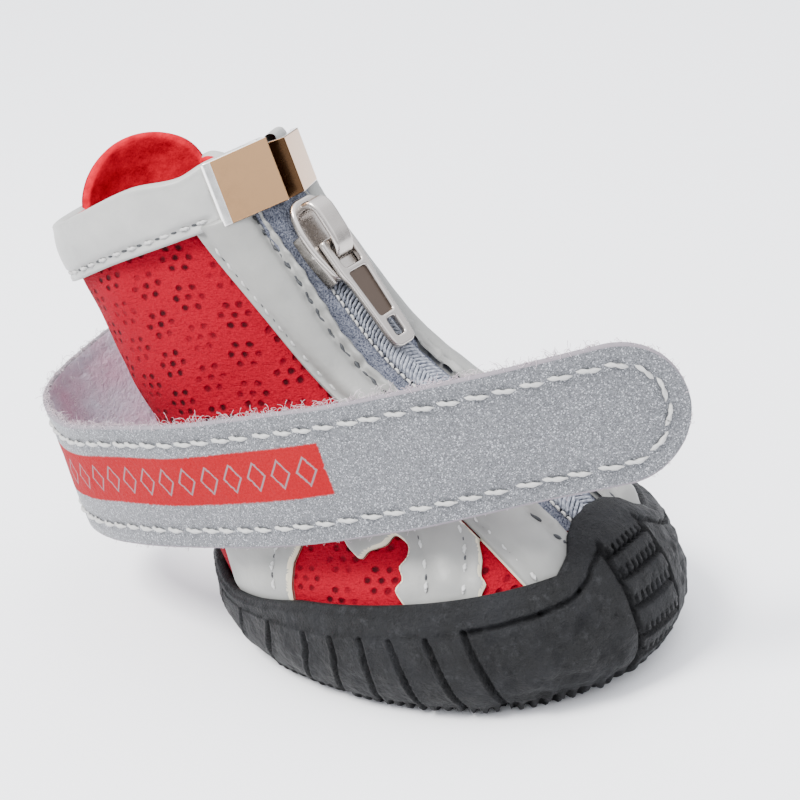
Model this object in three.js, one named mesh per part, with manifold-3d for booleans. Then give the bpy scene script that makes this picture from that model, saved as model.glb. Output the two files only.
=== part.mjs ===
import * as THREE from 'three';
import { mergeVertices } from 'three/addons/utils/BufferGeometryUtils.js';
import Module from 'manifold-3d';

// Dog boot in millimetres: +X towards the toe, +Y towards the boot's left side, +Z up.
// The origin is on the floor, under the middle of the sole.

// Driving dimensions of the whole boot
const SOLE_LENGTH = 78;
const SOLE_WIDTH = 55.5;
const BOOT_HEIGHT = 75.8; // floor to the front of the collar

// Thicknesses and clearances
const WALL = 1.8; // mesh wall of the upper with its lining
const LEATHER = 1.0; // gray overlays
const CROWN = 0.5; // swell of a padded overlay between its two seams
const BAND = 1.4; // collar band
const GAP = 0.3; // between pieces that meet

// Sole
const RUBBER = 2.3; // rubber outside the upper
const LIP = 1.2; // rubber at the top edge of the rand
const TOE_SPRING = 2.2;
const HEEL_BEVEL = 1.0;
const INSOLE = 1.5;
const SLOT_WIDTH = 0.9; // grooves of the side
const SLOT_DEPTH = 1.0;
const TREAD_DEPTH = 1.4; // grooves of the tread
const TREAD_SLOT = 1.8;
const TREAD_PITCH = 6.6;
const RIB_DEPTH = 0.9; // hollows between the ribs of the toe strip

// Zip
const ZIP_GAP = 5; // half of the slit in the front
const TAPE = 0.9;
const TEETH_HALF = 2.8;
const TEETH_RISE = 1.0; // above the upper's surface
const SLIDER_PLATE = 1.0;
const SLIDER_HALF = 4.3;
const BRIDGE_HALF = 1.6;
const BRIDGE_RISE = 3.3; // above the plate
const BRIDGE_BAR = 1.1;
const PULL_LENGTH = 18.5; // from the axis to the end
const PULL_HALF = 3.2;
const PULL_THICK = 1.1;

// Clips, strap and tab
const CLIP = 0.8; // sheet metal
const CLIP_SLIT = 0.45; // half of the gap between the two clips
const CLIP_PRESS = 0.6; // share of the band's thickness left under a clip
const STRAP_WIDTH = 20;
const STRAP_THICK = 2.0;
const TAB_RISE = 7.2;

// Sections of the upper's outer surface from the sole's floor (0) past the collar edge (1).
// x in shares of half the sole length, z of the boot height, half of half the sole width.
// egg narrows the front end, square fills the corners.
const SECTIONS = [
  { at: 0.00, backX: -0.882, backZ: 0.061, frontX: 0.887, frontZ: 0.074, half: 0.865, egg: -0.03, square: 0.03 },
  { at: 0.10, backX: -0.923, backZ: 0.096, frontX: 0.933, frontZ: 0.148, half: 0.908, egg: -0.03, square: 0.03 },
  { at: 0.20, backX: -0.969, backZ: 0.150, frontX: 0.836, frontZ: 0.245, half: 0.886, egg: 0.00, square: 0.02 },
  { at: 0.30, backX: -1.072, backZ: 0.232, frontX: 0.631, frontZ: 0.338, half: 0.778, egg: 0.08, square: 0.00 },
  { at: 0.42, backX: -1.190, backZ: 0.343, frontX: 0.287, frontZ: 0.462, half: 0.677, egg: 0.16, square: 0.00 },
  { at: 0.55, backX: -1.297, backZ: 0.462, frontX: -0.033, frontZ: 0.574, half: 0.605, egg: 0.18, square: 0.00 },
  { at: 0.68, backX: -1.421, backZ: 0.580, frontX: -0.251, frontZ: 0.706, half: 0.569, egg: 0.17, square: 0.00 },
  { at: 0.84, backX: -1.523, backZ: 0.712, frontX: -0.467, frontZ: 0.864, half: 0.548, egg: 0.16, square: 0.00 },
  { at: 1.00, backX: -1.579, backZ: 0.810, frontX: -0.544, frontZ: 1.000, half: 0.541, egg: 0.15, square: 0.00 },
  { at: 1.15, backX: -1.564, backZ: 0.910, frontX: -0.600, frontZ: 1.099, half: 0.483, egg: 0.15, square: 0.00 },
];

// Places on the upper: around runs from the zip (0) to the middle of the back (1), height as in SECTIONS.
const RAND = [
  { around: 0.00, height: 0.268 },
  { around: 0.05, height: 0.262 },
  { around: 0.085, height: 0.245 },
  { around: 0.107, height: 0.222 },
  { around: 0.142, height: 0.200 },
  { around: 0.31, height: 0.198 },
  { around: 0.53, height: 0.198 },
  { around: 0.62, height: 0.178 },
  { around: 0.70, height: 0.166 },
  { around: 0.80, height: 0.185 },
  { around: 0.90, height: 0.230 },
  { around: 1.00, height: 0.250 },
];
const COLLAR_TOP = [
  { around: 0.00, height: 0.990 },
  { around: 0.22, height: 0.995 },
  { around: 0.30, height: 0.990 },
  { around: 0.42, height: 1.030 },
  { around: 0.58, height: 1.018 },
  { around: 0.72, height: 1.000 },
  { around: 1.00, height: 1.000 },
];
const COLLAR_LOW = [
  { around: 0.00, height: 0.860 },
  { around: 0.40, height: 0.855 },
  { around: 0.52, height: 0.850 },
  { around: 0.73, height: 0.828 },
  { around: 1.00, height: 0.820 },
];
const FACING_REAR = [
  { height: 0.18, around: 0.184 },
  { height: 0.29, around: 0.214 },
  { height: 0.42, around: 0.238 },
  { height: 0.55, around: 0.253 },
  { height: 0.72, around: 0.277 },
  { height: 0.86, around: 0.302 },
];
const OVERLAY_REAR = [
  { height: 0.15, around: 0.700 },
  { height: 0.27, around: 0.668 },
  { height: 0.34, around: 0.650 },
  { height: 0.44, around: 0.640 },
];
const OVERLAY_TOP = [
  { around: 0.20, height: 0.440 },
  { around: 0.34, height: 0.425 },
  { around: 0.50, height: 0.385 },
  { around: 0.70, height: 0.365 },
];
// Mesh windows of the side overlay, as closed outlines
const SIDE_WINDOW = [
  { around: 0.545, height: 0.150 },
  { around: 0.545, height: 0.217 },
  { around: 0.520, height: 0.268 },
  { around: 0.486, height: 0.305 },
  { around: 0.465, height: 0.340 },
  { around: 0.425, height: 0.345 },
  { around: 0.410, height: 0.325 },
  { around: 0.412, height: 0.300 },
  { around: 0.404, height: 0.279 },
  { around: 0.385, height: 0.291 },
  { around: 0.355, height: 0.298 },
  { around: 0.332, height: 0.311 },
  { around: 0.323, height: 0.296 },
  { around: 0.334, height: 0.279 },
  { around: 0.354, height: 0.264 },
  { around: 0.358, height: 0.245 },
  { around: 0.376, height: 0.226 },
  { around: 0.376, height: 0.150 },
];
const TOE_WINDOW = [
  { around: 0.262, height: 0.150 },
  { around: 0.262, height: 0.203 },
  { around: 0.240, height: 0.222 },
  { around: 0.243, height: 0.237 },
  { around: 0.232, height: 0.258 },
  { around: 0.218, height: 0.285 },
  { around: 0.190, height: 0.295 },
  { around: 0.160, height: 0.150 },
];

// Sole profile below the widest line: inset from the outline, heights at the heel and at the toe, mm
const RIM = [
  { at: 0.00, inset: 5.25, heel: 0.0, toe: 0.0 },
  { at: 0.14, inset: 2.6, heel: 1.6, toe: 1.8 },
  { at: 0.28, inset: 0.9, heel: 3.8, toe: 4.4 },
  { at: 0.42, inset: 0.1, heel: 6.2, toe: 8.0 },
];
const CLING_AT = 0.58; // from here up the rubber follows the upper
const CLING_HEIGHT = 0.14; // height on the upper at CLING_AT
// Grooves of the side, from the tread edge up, and the ribs of the toe strip
const SLOTS = [
  { around: 0.290, top: 0.68, slant: -0.012 },
  { around: 0.340, top: 0.61, slant: -0.010 },
  { around: 0.395, top: 0.60, slant: -0.006 },
  { around: 0.447, top: 0.60, slant: 0.002 },
  { around: 0.495, top: 0.59, slant: 0.008 },
  { around: 0.545, top: 0.58, slant: 0.012 },
  { around: 0.610, top: 0.57, slant: 0.014 },
  { around: 0.680, top: 0.57, slant: 0.016 },
  { around: 0.760, top: 0.57, slant: 0.016 },
  { around: 0.850, top: 0.60, slant: 0.016 },
];
const STRIP_HALF = 0.056; // toe strip, in shares of the way round
const BLOCK_TOP = [
  { around: 0.062, at: 0.84 },
  { around: 0.125, at: 0.79 },
  { around: 0.195, at: 0.725 },
  { around: 0.290, at: 0.68 },
];
const RIB_HOLLOWS = [0.215, 0.375, 0.535, 0.695];

// Strap behind and beside the boot: x in shares of half the sole length, y of half the sole width,
// z of the boot height, all for the middle of its width; lean is how far its top edge tips back, degrees.
const STRAP_PATH = [
  { x: -1.450, y: 0.500, z: 0.450, lean: 20 },
  { x: -1.600, y: 0.350, z: 0.400, lean: 17 },
  { x: -1.700, y: 0.120, z: 0.358, lean: 14 },
  { x: -1.728, y: -0.130, z: 0.332, lean: 13 },
  { x: -1.675, y: -0.380, z: 0.318, lean: 14 },
  { x: -1.530, y: -0.590, z: 0.312, lean: 16 },
  { x: -1.310, y: -0.755, z: 0.325, lean: 18 },
  { x: -1.020, y: -0.865, z: 0.360, lean: 18 },
  { x: -0.665, y: -0.912, z: 0.397, lean: 17 },
  { x: -0.305, y: -0.912, z: 0.438, lean: 12 },
  { x: 0.055, y: -0.868, z: 0.481, lean: 8 },
  { x: 0.365, y: -0.765, z: 0.518, lean: 6 },
  { x: 0.620, y: -0.610, z: 0.546, lean: 5 },
  { x: 0.850, y: -0.415, z: 0.567, lean: 5 },
  { x: 1.055, y: -0.200, z: 0.581, lean: 5 },
  { x: 1.205, y: -0.010, z: 0.586, lean: 5 },
];
const STRAP_SEAM = { first: 0.36, last: 0.60, height: 0.592 }; // sewn stretch on the boot's left side

const wasm = await Module();
wasm.setup();

// Small mathematics

function lerp(a, b, t) {
  return a + (b - a) * t;
}

function clamp(value, low, high) {
  return Math.min(high, Math.max(low, value));
}

function smooth(value, low, high) {
  const t = clamp((value - low) / (high - low), 0, 1);
  return t * t * (3 - 2 * t);
}

// Straight-line reading of a table
function readLine(table, from, to, value) {
  const last = table.length - 1;
  if (value <= table[0][from]) return table[0][to];
  if (value >= table[last][from]) return table[last][to];
  const i = table.findIndex((row) => row[from] > value) - 1;
  const t = (value - table[i][from]) / (table[i + 1][from] - table[i][from]);
  return lerp(table[i][to], table[i + 1][to], t);
}

// Smooth reading of a table with cubic stretches
function readCurve(table, from, to, value) {
  const last = table.length - 1;
  const i = clamp(table.findIndex((row) => row[from] > value) - 1, 0, last - 1);
  const k = value >= table[last][from] ? last - 1 : i;
  const slope = (j) => {
    const a = table[Math.max(j - 1, 0)];
    const b = table[Math.min(j + 1, last)];
    return (b[to] - a[to]) / (b[from] - a[from]);
  };
  const step = table[k + 1][from] - table[k][from];
  const t = (value - table[k][from]) / step;
  const t2 = t * t;
  const t3 = t2 * t;
  return (2 * t3 - 3 * t2 + 1) * table[k][to] + (t3 - 2 * t2 + t) * step * slope(k)
    + (3 * t2 - 2 * t3) * table[k + 1][to] + (t3 - t2) * step * slope(k + 1);
}

// Surfaces

const HALF_LENGTH = SOLE_LENGTH / 2;
const HALF_WIDTH = SOLE_WIDTH / 2;
const CLIP_REACH = 0.22; // the front corners are flat as far round as the clips reach

// Point of a ring: around 0 is the front, +-1 the back, positive on the boot's left
function ringPoint(around, height) {
  const read = (key) => readCurve(SECTIONS, 'at', key, height);
  const square = read('square');
  const egg = read('egg');
  const oval = (share) => {
    const c = Math.cos(Math.PI * share);
    const s = Math.sin(Math.PI * share);
    return [c * (1 + square * s * s), s * (1 + square * c * c) * (1 - egg * c)];
  };
  let [along, across] = oval(around);
  const turn = around > 1 ? around - 2 : around;
  if (Math.abs(turn) < CLIP_REACH) {
    const flat = smooth(height, 0.7, 0.85);
    const [edgeAlong, edgeAcross] = oval(Math.sign(turn) * CLIP_REACH);
    const t = Math.sin(Math.PI * Math.abs(turn)) / Math.sin(Math.PI * CLIP_REACH);
    along = lerp(along, lerp(1, edgeAlong, t), flat);
    across = lerp(across, edgeAcross * t, flat);
  }
  const middleX = (read('backX') + read('frontX')) / 2;
  const middleZ = (read('backZ') + read('frontZ')) / 2;
  return new THREE.Vector3(
    (middleX + along * (read('frontX') - read('backX')) / 2) * HALF_LENGTH,
    across * read('half') * HALF_WIDTH,
    (middleZ + along * (read('frontZ') - read('backZ')) / 2) * BOOT_HEIGHT,
  );
}

// The upper's outer surface, moved out by an offset
function skin(around, height, offset) {
  const step = 0.002;
  const across = ringPoint(around + step, height).sub(ringPoint(around - step, height));
  const up = ringPoint(around, height + step).sub(ringPoint(around, height - step));
  return ringPoint(around, height).addScaledVector(across.cross(up).normalize(), offset);
}

// How far round a point lies that is a given distance from the middle plane, near the front
function aroundAt(distance, height) {
  const width = readCurve(SECTIONS, 'at', 'half', height) * HALF_WIDTH;
  const narrow = 1 - readCurve(SECTIONS, 'at', 'egg', height);
  return Math.asin(distance / (width * narrow)) / Math.PI;
}

function randAt(around) {
  return readLine(RAND, 'around', 'height', Math.abs(around));
}

function collarTopAt(around) {
  const folded = Math.abs(around) > 1 ? 2 - Math.abs(around) : Math.abs(around);
  return readCurve(COLLAR_TOP, 'around', 'height', folded);
}

function collarLowAt(around) {
  const folded = Math.abs(around) > 1 ? 2 - Math.abs(around) : Math.abs(around);
  return readCurve(COLLAR_LOW, 'around', 'height', folded);
}

// Tread height, with the spring under the toe and the bevel under the heel
function treadAt(x) {
  const toe = Math.max(0, (x / HALF_LENGTH - 0.44) / 0.56);
  const heel = Math.max(0, (-x / HALF_LENGTH - 0.62) / 0.38);
  return TOE_SPRING * toe * toe + HEEL_BEVEL * heel * heel;
}

function rimPoint(around, at) {
  const c = Math.cos(Math.PI * around);
  const s = Math.sin(Math.PI * around);
  const inset = readLine(RIM, 'at', 'inset', at);
  const x = (HALF_LENGTH - inset) * c * (1 + 0.03 * s * s);
  const y = (HALF_WIDTH - inset) * s * (1 + 0.03 * c * c) * (1 + 0.03 * c);
  const z = lerp(readLine(RIM, 'at', 'heel', at), readLine(RIM, 'at', 'toe', at), (1 + c) / 2);
  return new THREE.Vector3(x, y, z + treadAt(x) * (1 - at));
}

// The sole's outside, from the tread edge (0) to the top of the rand (1)
function rubberPoint(around, at) {
  const high = RIM[RIM.length - 1].at;
  const rise = clamp((at - CLING_AT) / (1 - CLING_AT), 0, 1);
  const height = lerp(CLING_HEIGHT, randAt(around), rise);
  const upper = skin(around, height, lerp(RUBBER, LIP, smooth(rise, 0.75, 1)));
  return rimPoint(around, Math.min(at, high)).lerp(upper, clamp((at - high) / (CLING_AT - high), 0, 1));
}

function rubber(around, at, offset) {
  const step = 0.004;
  const across = rubberPoint(around + step, at).sub(rubberPoint(around - step, at));
  const up = rubberPoint(around, at + step).sub(rubberPoint(around, at - step));
  return rubberPoint(around, at).addScaledVector(across.cross(up).normalize(), offset);
}

// Solids

function volumeOf(points, faces) {
  let volume = 0;
  for (let i = 0; i < faces.length; i += 3) {
    const [a, b, c] = [points[faces[i]], points[faces[i + 1]], points[faces[i + 2]]];
    volume += a.dot(new THREE.Vector3().crossVectors(b, c)) / 6;
  }
  return volume;
}

function solidFrom(points, faces) {
  const turned = volumeOf(points, faces) < 0;
  const triVerts = Uint32Array.from(faces);
  if (turned) triVerts.reverse();
  const vertProperties = Float32Array.from(points.flatMap((p) => p.toArray()));
  return new wasm.Manifold(new wasm.Mesh({ numProp: 3, vertProperties, triVerts }));
}

// Joins loops of equal length into one closed solid. ends: 'ring' joins the last loop to the first,
// 'fan' closes each end loop round its middle, 'pair' closes a loop that runs out and back.
function loft(loops, ends) {
  const size = loops[0].length;
  const points = loops.flat();
  const faces = [];
  const spans = ends === 'ring' ? loops.length : loops.length - 1;
  for (let i = 0; i < spans; i += 1) {
    const a = i * size;
    const b = ((i + 1) % loops.length) * size;
    for (let k = 0; k < size; k += 1) {
      const m = (k + 1) % size;
      faces.push(a + k, b + k, b + m, a + k, b + m, a + m);
    }
  }
  for (const [start, first] of [[0, true], [(loops.length - 1) * size, false]]) {
    if (ends === 'ring') break;
    const caps = [];
    if (ends === 'fan') {
      const loop = points.slice(start, start + size);
      const middle = loop.reduce((sum, p) => sum.add(p), new THREE.Vector3()).divideScalar(size);
      points.push(middle);
      for (let k = 0; k < size; k += 1) caps.push([start + k, start + ((k + 1) % size), points.length - 1]);
    } else {
      for (let k = 0; k < size / 2 - 1; k += 1) {
        const [p, q, r, s] = [k, k + 1, size - 2 - k, size - 1 - k].map((n) => n + start);
        caps.push([p, q, r], [p, r, s]);
      }
    }
    for (const [p, q, r] of caps) faces.push(...(first ? [p, q, r] : [r, q, p]));
  }
  return solidFrom(points, faces);
}

// Curved slab on a surface. place(s, t) gives around and height for s across and t up;
// outer may be a number or a function of s and t.
function slab(surface, place, inner, outer, columns, rows) {
  const loops = [];
  for (let j = 0; j <= rows; j += 1) {
    const out = [];
    const back = [];
    for (let i = 0; i <= columns; i += 1) {
      const [around, height] = place(i / columns, j / rows);
      const rise = typeof outer === 'function' ? outer(i / columns, j / rows) : outer;
      out.push(surface(around, height, rise));
      back.unshift(surface(around, height, inner));
    }
    loops.push([...out, ...back]);
  }
  return loft(loops, 'pair');
}

// A region of the upper between two upright edges and two level ones that all may curve
function between(front, rear, low, high) {
  return (s, t) => {
    let height = lerp(0.2, 0.8, t);
    let around = 0;
    for (let turn = 0; turn < 6; turn += 1) {
      around = lerp(front(height), rear(height), s);
      height = lerp(low(around), high(around), t);
    }
    return [around, height];
  };
}

// A cutter through the upper's skin with the outline of a window
function windowCutter(outline, side) {
  const curve = new THREE.CatmullRomCurve3(
    outline.map((row) => new THREE.Vector3(row.around, row.height, 0)), true, 'catmullrom', 0.35,
  );
  const places = curve.getPoints(Math.round(outline.length * 1.6)).slice(0, -1);
  const flat = places.map((p) => new THREE.Vector2(p.x, p.y));
  const points = [6, -5].flatMap((offset) => places.map((p) => skin(side * p.x, p.y, offset)));
  const faces = [];
  const size = places.length;
  for (const [a, b, c] of THREE.ShapeUtils.triangulateShape(flat, [])) {
    faces.push(a, b, c, c + size, b + size, a + size);
  }
  for (let k = 0; k < size; k += 1) {
    const m = (k + 1) % size;
    faces.push(k, k + size, m, m, k + size, m + size);
  }
  const turned = THREE.ShapeUtils.isClockWise(flat);
  return solidFrom(points, turned ? faces.reverse() : faces);
}

// A three.js geometry as a solid
function solidOf(geometry) {
  const bare = geometry.index ? geometry.toNonIndexed() : geometry.clone();
  bare.deleteAttribute('normal');
  bare.deleteAttribute('uv');
  const merged = mergeVertices(bare, 1e-4);
  return new wasm.Manifold(new wasm.Mesh({
    numProp: 3,
    vertProperties: merged.attributes.position.array,
    triVerts: Uint32Array.from(merged.index.array),
  }));
}

function geometryOf(solid) {
  const mesh = solid.getMesh();
  const geometry = new THREE.BufferGeometry();
  geometry.setAttribute('position', new THREE.BufferAttribute(mesh.vertProperties, 3));
  geometry.setIndex(new THREE.BufferAttribute(mesh.triVerts, 1));
  geometry.computeVertexNormals();
  return geometry;
}

function boxSolid(sizeX, sizeY, sizeZ, x, y, z) {
  return solidOf(new THREE.BoxGeometry(sizeX, sizeY, sizeZ).translate(x, y, z));
}

// A flat outline drawn along one axis and across another, extruded along the third
function plateSolid(outline, thickness, matrix, hole) {
  const turned = (pairs, clockwise) => {
    const points = pairs.map(([x, y]) => new THREE.Vector2(x, y));
    return THREE.ShapeUtils.isClockWise(points) === clockwise ? points : points.reverse();
  };
  const shape = new THREE.Shape(turned(outline, false));
  if (hole) shape.holes.push(new THREE.Path(turned(hole, true)));
  const geometry = new THREE.ExtrudeGeometry(shape, { depth: thickness, bevelEnabled: false, curveSegments: 6 });
  return solidOf(geometry.applyMatrix4(matrix));
}

// Outsole

const AROUND_STEPS = 60;

function ringOf(surface) {
  const points = [];
  for (let i = 0; i < AROUND_STEPS; i += 1) points.push(surface((2 * i) / AROUND_STEPS - 1));
  return points;
}

const INNER_FLAT = 14; // inset of the flat middle of the tread

function floorPoint(around, offset) {
  return skin(around, 0, offset).add(new THREE.Vector3(0, 0, -GAP));
}

function outsoleBody() {
  const rings = [
    ringOf((a) => rimPoint(a, 0).multiply(new THREE.Vector3(1 - INNER_FLAT / HALF_LENGTH, 1 - INNER_FLAT / HALF_LENGTH, 0))),
    ...[0, 0.14, 0.28, 0.42, CLING_AT, 0.76, 0.92].map((at) => ringOf((a) => rubberPoint(a, at))),
    ringOf((a) => skin(a, randAt(a), LIP)),
    ...[1, 0.75, 0.5, 0.25, 0].map((share) => ringOf((a) => {
      const clear = GAP * (1 + Math.sin(Math.PI * share));
      return skin(a, share * randAt(a), clear);
    })),
    ringOf((a) => floorPoint(a, GAP)),
  ];
  return loft(rings, 'fan');
}

// A groove along the sole's outside between two places
function groove(from, to, width, depth, steps) {
  const place = (s, t) => [lerp(from[0], to[0], t), lerp(from[1], to[1], t)];
  const loops = [];
  for (let j = 0; j <= steps; j += 1) {
    const t = j / steps;
    const here = place(0, t);
    const ahead = rubber(...place(0, t + 0.02), 0).sub(rubber(...place(0, t - 0.02), 0)).normalize();
    const out = rubber(...here, 1).sub(rubber(...here, 0)).normalize();
    const side = new THREE.Vector3().crossVectors(ahead, out).normalize().multiplyScalar(width / 2);
    const low = rubber(...here, -depth);
    const high = rubber(...here, 2.5);
    loops.push([low.clone().add(side), high.clone().add(side), high.clone().sub(side), low.clone().sub(side)]);
  }
  return loft(loops, 'fan');
}

function makeOutsole() {
  let sole = outsoleBody();
  const cutters = [];
  for (const side of [-1, 1]) {
    for (const slot of SLOTS) {
      const foot = slot.around + slot.slant;
      cutters.push(groove([side * foot, 0.02], [side * slot.around, slot.top], SLOT_WIDTH, SLOT_DEPTH, 3));
    }
    for (let i = 0; i + 1 < BLOCK_TOP.length; i += 1) {
      const [a, b] = [BLOCK_TOP[i], BLOCK_TOP[i + 1]];
      cutters.push(groove([side * a.around, a.at], [side * b.around, b.at], SLOT_WIDTH, SLOT_DEPTH * 0.7, 1));
    }
    cutters.push(groove([side * (STRIP_HALF + 0.02), 0.04], [side * STRIP_HALF, 0.3], SLOT_WIDTH, SLOT_DEPTH, 2));
    cutters.push(groove([side * STRIP_HALF, 0.28], [side * STRIP_HALF, 0.86], SLOT_WIDTH, SLOT_DEPTH, 3));
  }
  for (const at of RIB_HOLLOWS) {
    const ends = [[-STRIP_HALF, at], [STRIP_HALF, at]];
    cutters.push(groove(...ends, 1.9, RIB_DEPTH, 3));
  }
  for (let x = -4.5 * TREAD_PITCH; x < HALF_LENGTH; x += TREAD_PITCH) {
    const depth = TREAD_DEPTH + treadAt(x);
    cutters.push(boxSolid(TREAD_SLOT, SOLE_WIDTH, depth, x, 0, depth / 2 - 0.001));
  }
  for (const cutter of cutters) sole = sole.subtract(cutter);
  return sole;
}

// Insole and upper

function makeInsole() {
  const inset = -(WALL + GAP);
  const shift = (z) => (a) => skin(a, 0.0, inset).add(new THREE.Vector3(0, 0, z));
  return loft([ringOf(shift(0)), ringOf(shift(INSOLE))], 'fan');
}

const TAB_MIDDLE = 0.78;
const TAB_HALF = 0.215;

// Rise of the rounded tab that the wall forms above the collar, on the boot's left rear
function tabAt(around) {
  const x = (around - TAB_MIDDLE) / TAB_HALF;
  const share = TAB_RISE / (BOOT_HEIGHT * 0.68);
  return Math.abs(x) < 1 ? share * Math.pow(1 - x * x, 0.6) : 0;
}

function makeUpper() {
  const outside = [0, 0.07, 0.14, 0.2, 0.27, 0.36, 0.5, 0.6, 0.7, 0.8, 0.9, 1];
  const inside = [0, 0.12, 0.26, 0.42, 0.6, 0.8, 1];
  const loops = [];
  for (let i = 0; i < AROUND_STEPS; i += 1) {
    const around = (2 * i) / AROUND_STEPS - 1;
    const top = collarTopAt(around) - 0.008 + tabAt(around);
    const out = outside.map((h) => skin(around, h * top, 0));
    const back = inside.map((h) => skin(around, h * top, -WALL)).reverse();
    loops.push([...out, ...back]);
  }
  const tube = loft(loops, 'ring');
  const slit = between(
    (h) => -aroundAt(ZIP_GAP, h), (h) => aroundAt(ZIP_GAP, h), () => RAND[0].height + 0.012, () => 1.08,
  );
  return tube.subtract(slab(skin, slit, -WALL - 2, 2, 3, 10));
}

// Gray overlays

function facingPlace(side) {
  return between(
    (h) => side * aroundAt(ZIP_GAP, h),
    (h) => side * readCurve(FACING_REAR, 'height', 'around', h),
    (a) => randAt(a) + 0.008,
    (a) => collarLowAt(a) - 0.006,
  );
}

function makeFacing(side) {
  const swell = (s) => GAP + LEATHER + CROWN * Math.pow(Math.sin(Math.PI * s), 2);
  return slab(skin, facingPlace(side), 1.5 * GAP, swell, 5, 16);
}

function makeOverlay(side) {
  const place = between(
    (h) => side * (readCurve(FACING_REAR, 'height', 'around', h) + 0.006),
    (h) => side * readCurve(OVERLAY_REAR, 'height', 'around', h),
    (a) => randAt(a) + 0.008,
    (a) => readCurve(OVERLAY_TOP, 'around', 'height', Math.abs(a)),
  );
  return slab(skin, place, GAP, GAP + LEATHER, 20, 6)
    .subtract(windowCutter(SIDE_WINDOW, side))
    .subtract(windowCutter(TOE_WINDOW, side));
}

function makeCollarBand() {
  const end = aroundAt(CLIP_SLIT + CLIP + GAP, 0.93);
  const place = (s, t) => {
    const around = lerp(end, 2 - end, s);
    return [around, lerp(collarLowAt(around), collarTopAt(around), t)];
  };
  const swell = (s, t) => {
    const turn = Math.min(place(s, t)[0], 2 - place(s, t)[0]);
    const pressed = lerp(CLIP_PRESS, 1, smooth(turn, CLIP_REACH, CLIP_REACH + 0.02));
    return 1.5 * GAP + BAND * pressed * (0.75 + 0.25 * Math.sin(Math.PI * t));
  };
  return slab(skin, place, 1.5 * GAP, swell, 44, 4);
}

// Metal clips folded round the ends of the collar band

function makeClip(side) {
  const ends = { first: CLIP_SLIT, wall: CLIP_SLIT + CLIP, last: 4.6 };
  const low = 0.852;
  const high = 1.004;
  const sheet = (near, far, inner, outer) => slab(
    skin, (s, t) => [side * lerp(near, far, s), lerp(low, high, t)], inner, outer, 3, 3,
  );
  const near = aroundAt(ends.first, 0.93);
  const outside = 1.5 * GAP + BAND * CLIP_PRESS + GAP;
  return sheet(near, CLIP_REACH - 0.004, outside, outside + CLIP)
    .add(sheet(near, aroundAt(ends.wall, 0.93), -CLIP, outside + CLIP / 2))
    .add(sheet(near, aroundAt(ends.last, 0.93), -CLIP, 0));
}

// Zip

const ZIP_LOW = RAND[0].height + 0.02;
const ZIP_HIGH = 0.845;

function makeTape() {
  const half = ZIP_GAP - GAP;
  const place = (s, t) => {
    const height = lerp(ZIP_LOW, ZIP_HIGH, t);
    return [lerp(-1, 1, s) * aroundAt(half, height), height];
  };
  return slab(skin, place, -0.5 - TAPE, -0.5, 4, 14);
}

function makeTeeth() {
  const place = (s, t) => {
    const height = lerp(ZIP_LOW, ZIP_HIGH, t);
    return [lerp(-1, 1, s) * aroundAt(TEETH_HALF, height), height];
  };
  const round = (s) => TEETH_RISE * (0.45 + 0.55 * Math.sin(Math.PI * s));
  return slab(skin, place, -0.5 + GAP, round, 4, 16);
}

// Frame of the slider: x down along the zip, y across, z out of the boot, on top of the teeth
const SLIDER_LOW = 0.69;
const SLIDER_HIGH = 0.842;

function sliderFrame() {
  const low = skin(0, SLIDER_LOW, TEETH_RISE + GAP);
  const high = skin(0, SLIDER_HIGH, TEETH_RISE + GAP);
  const along = low.clone().sub(high).normalize();
  const across = new THREE.Vector3(0, 1, 0);
  const out = new THREE.Vector3().crossVectors(along, across).normalize();
  const origin = low.clone().lerp(high, 0.5);
  const length = low.distanceTo(high);
  const flipped = out.x < 0;
  if (flipped) out.negate();
  if (flipped) across.negate();
  return { origin, along, across, out, length };
}

const SLIDER = sliderFrame();
const PULL_AXIS = { along: 1.0, out: SLIDER_PLATE + 0.95 };

function frameMatrix(frame) {
  return new THREE.Matrix4().makeBasis(frame.along, frame.across, frame.out).setPosition(frame.origin);
}

// Stands a drawing of along and out on the frame's middle plane
function uprightMatrix(frame, half) {
  const turned = { along: frame.along, across: frame.out, out: frame.across.clone().negate(), origin: frame.origin };
  return frameMatrix(turned).multiply(new THREE.Matrix4().makeTranslation(0, 0, -half));
}

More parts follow.
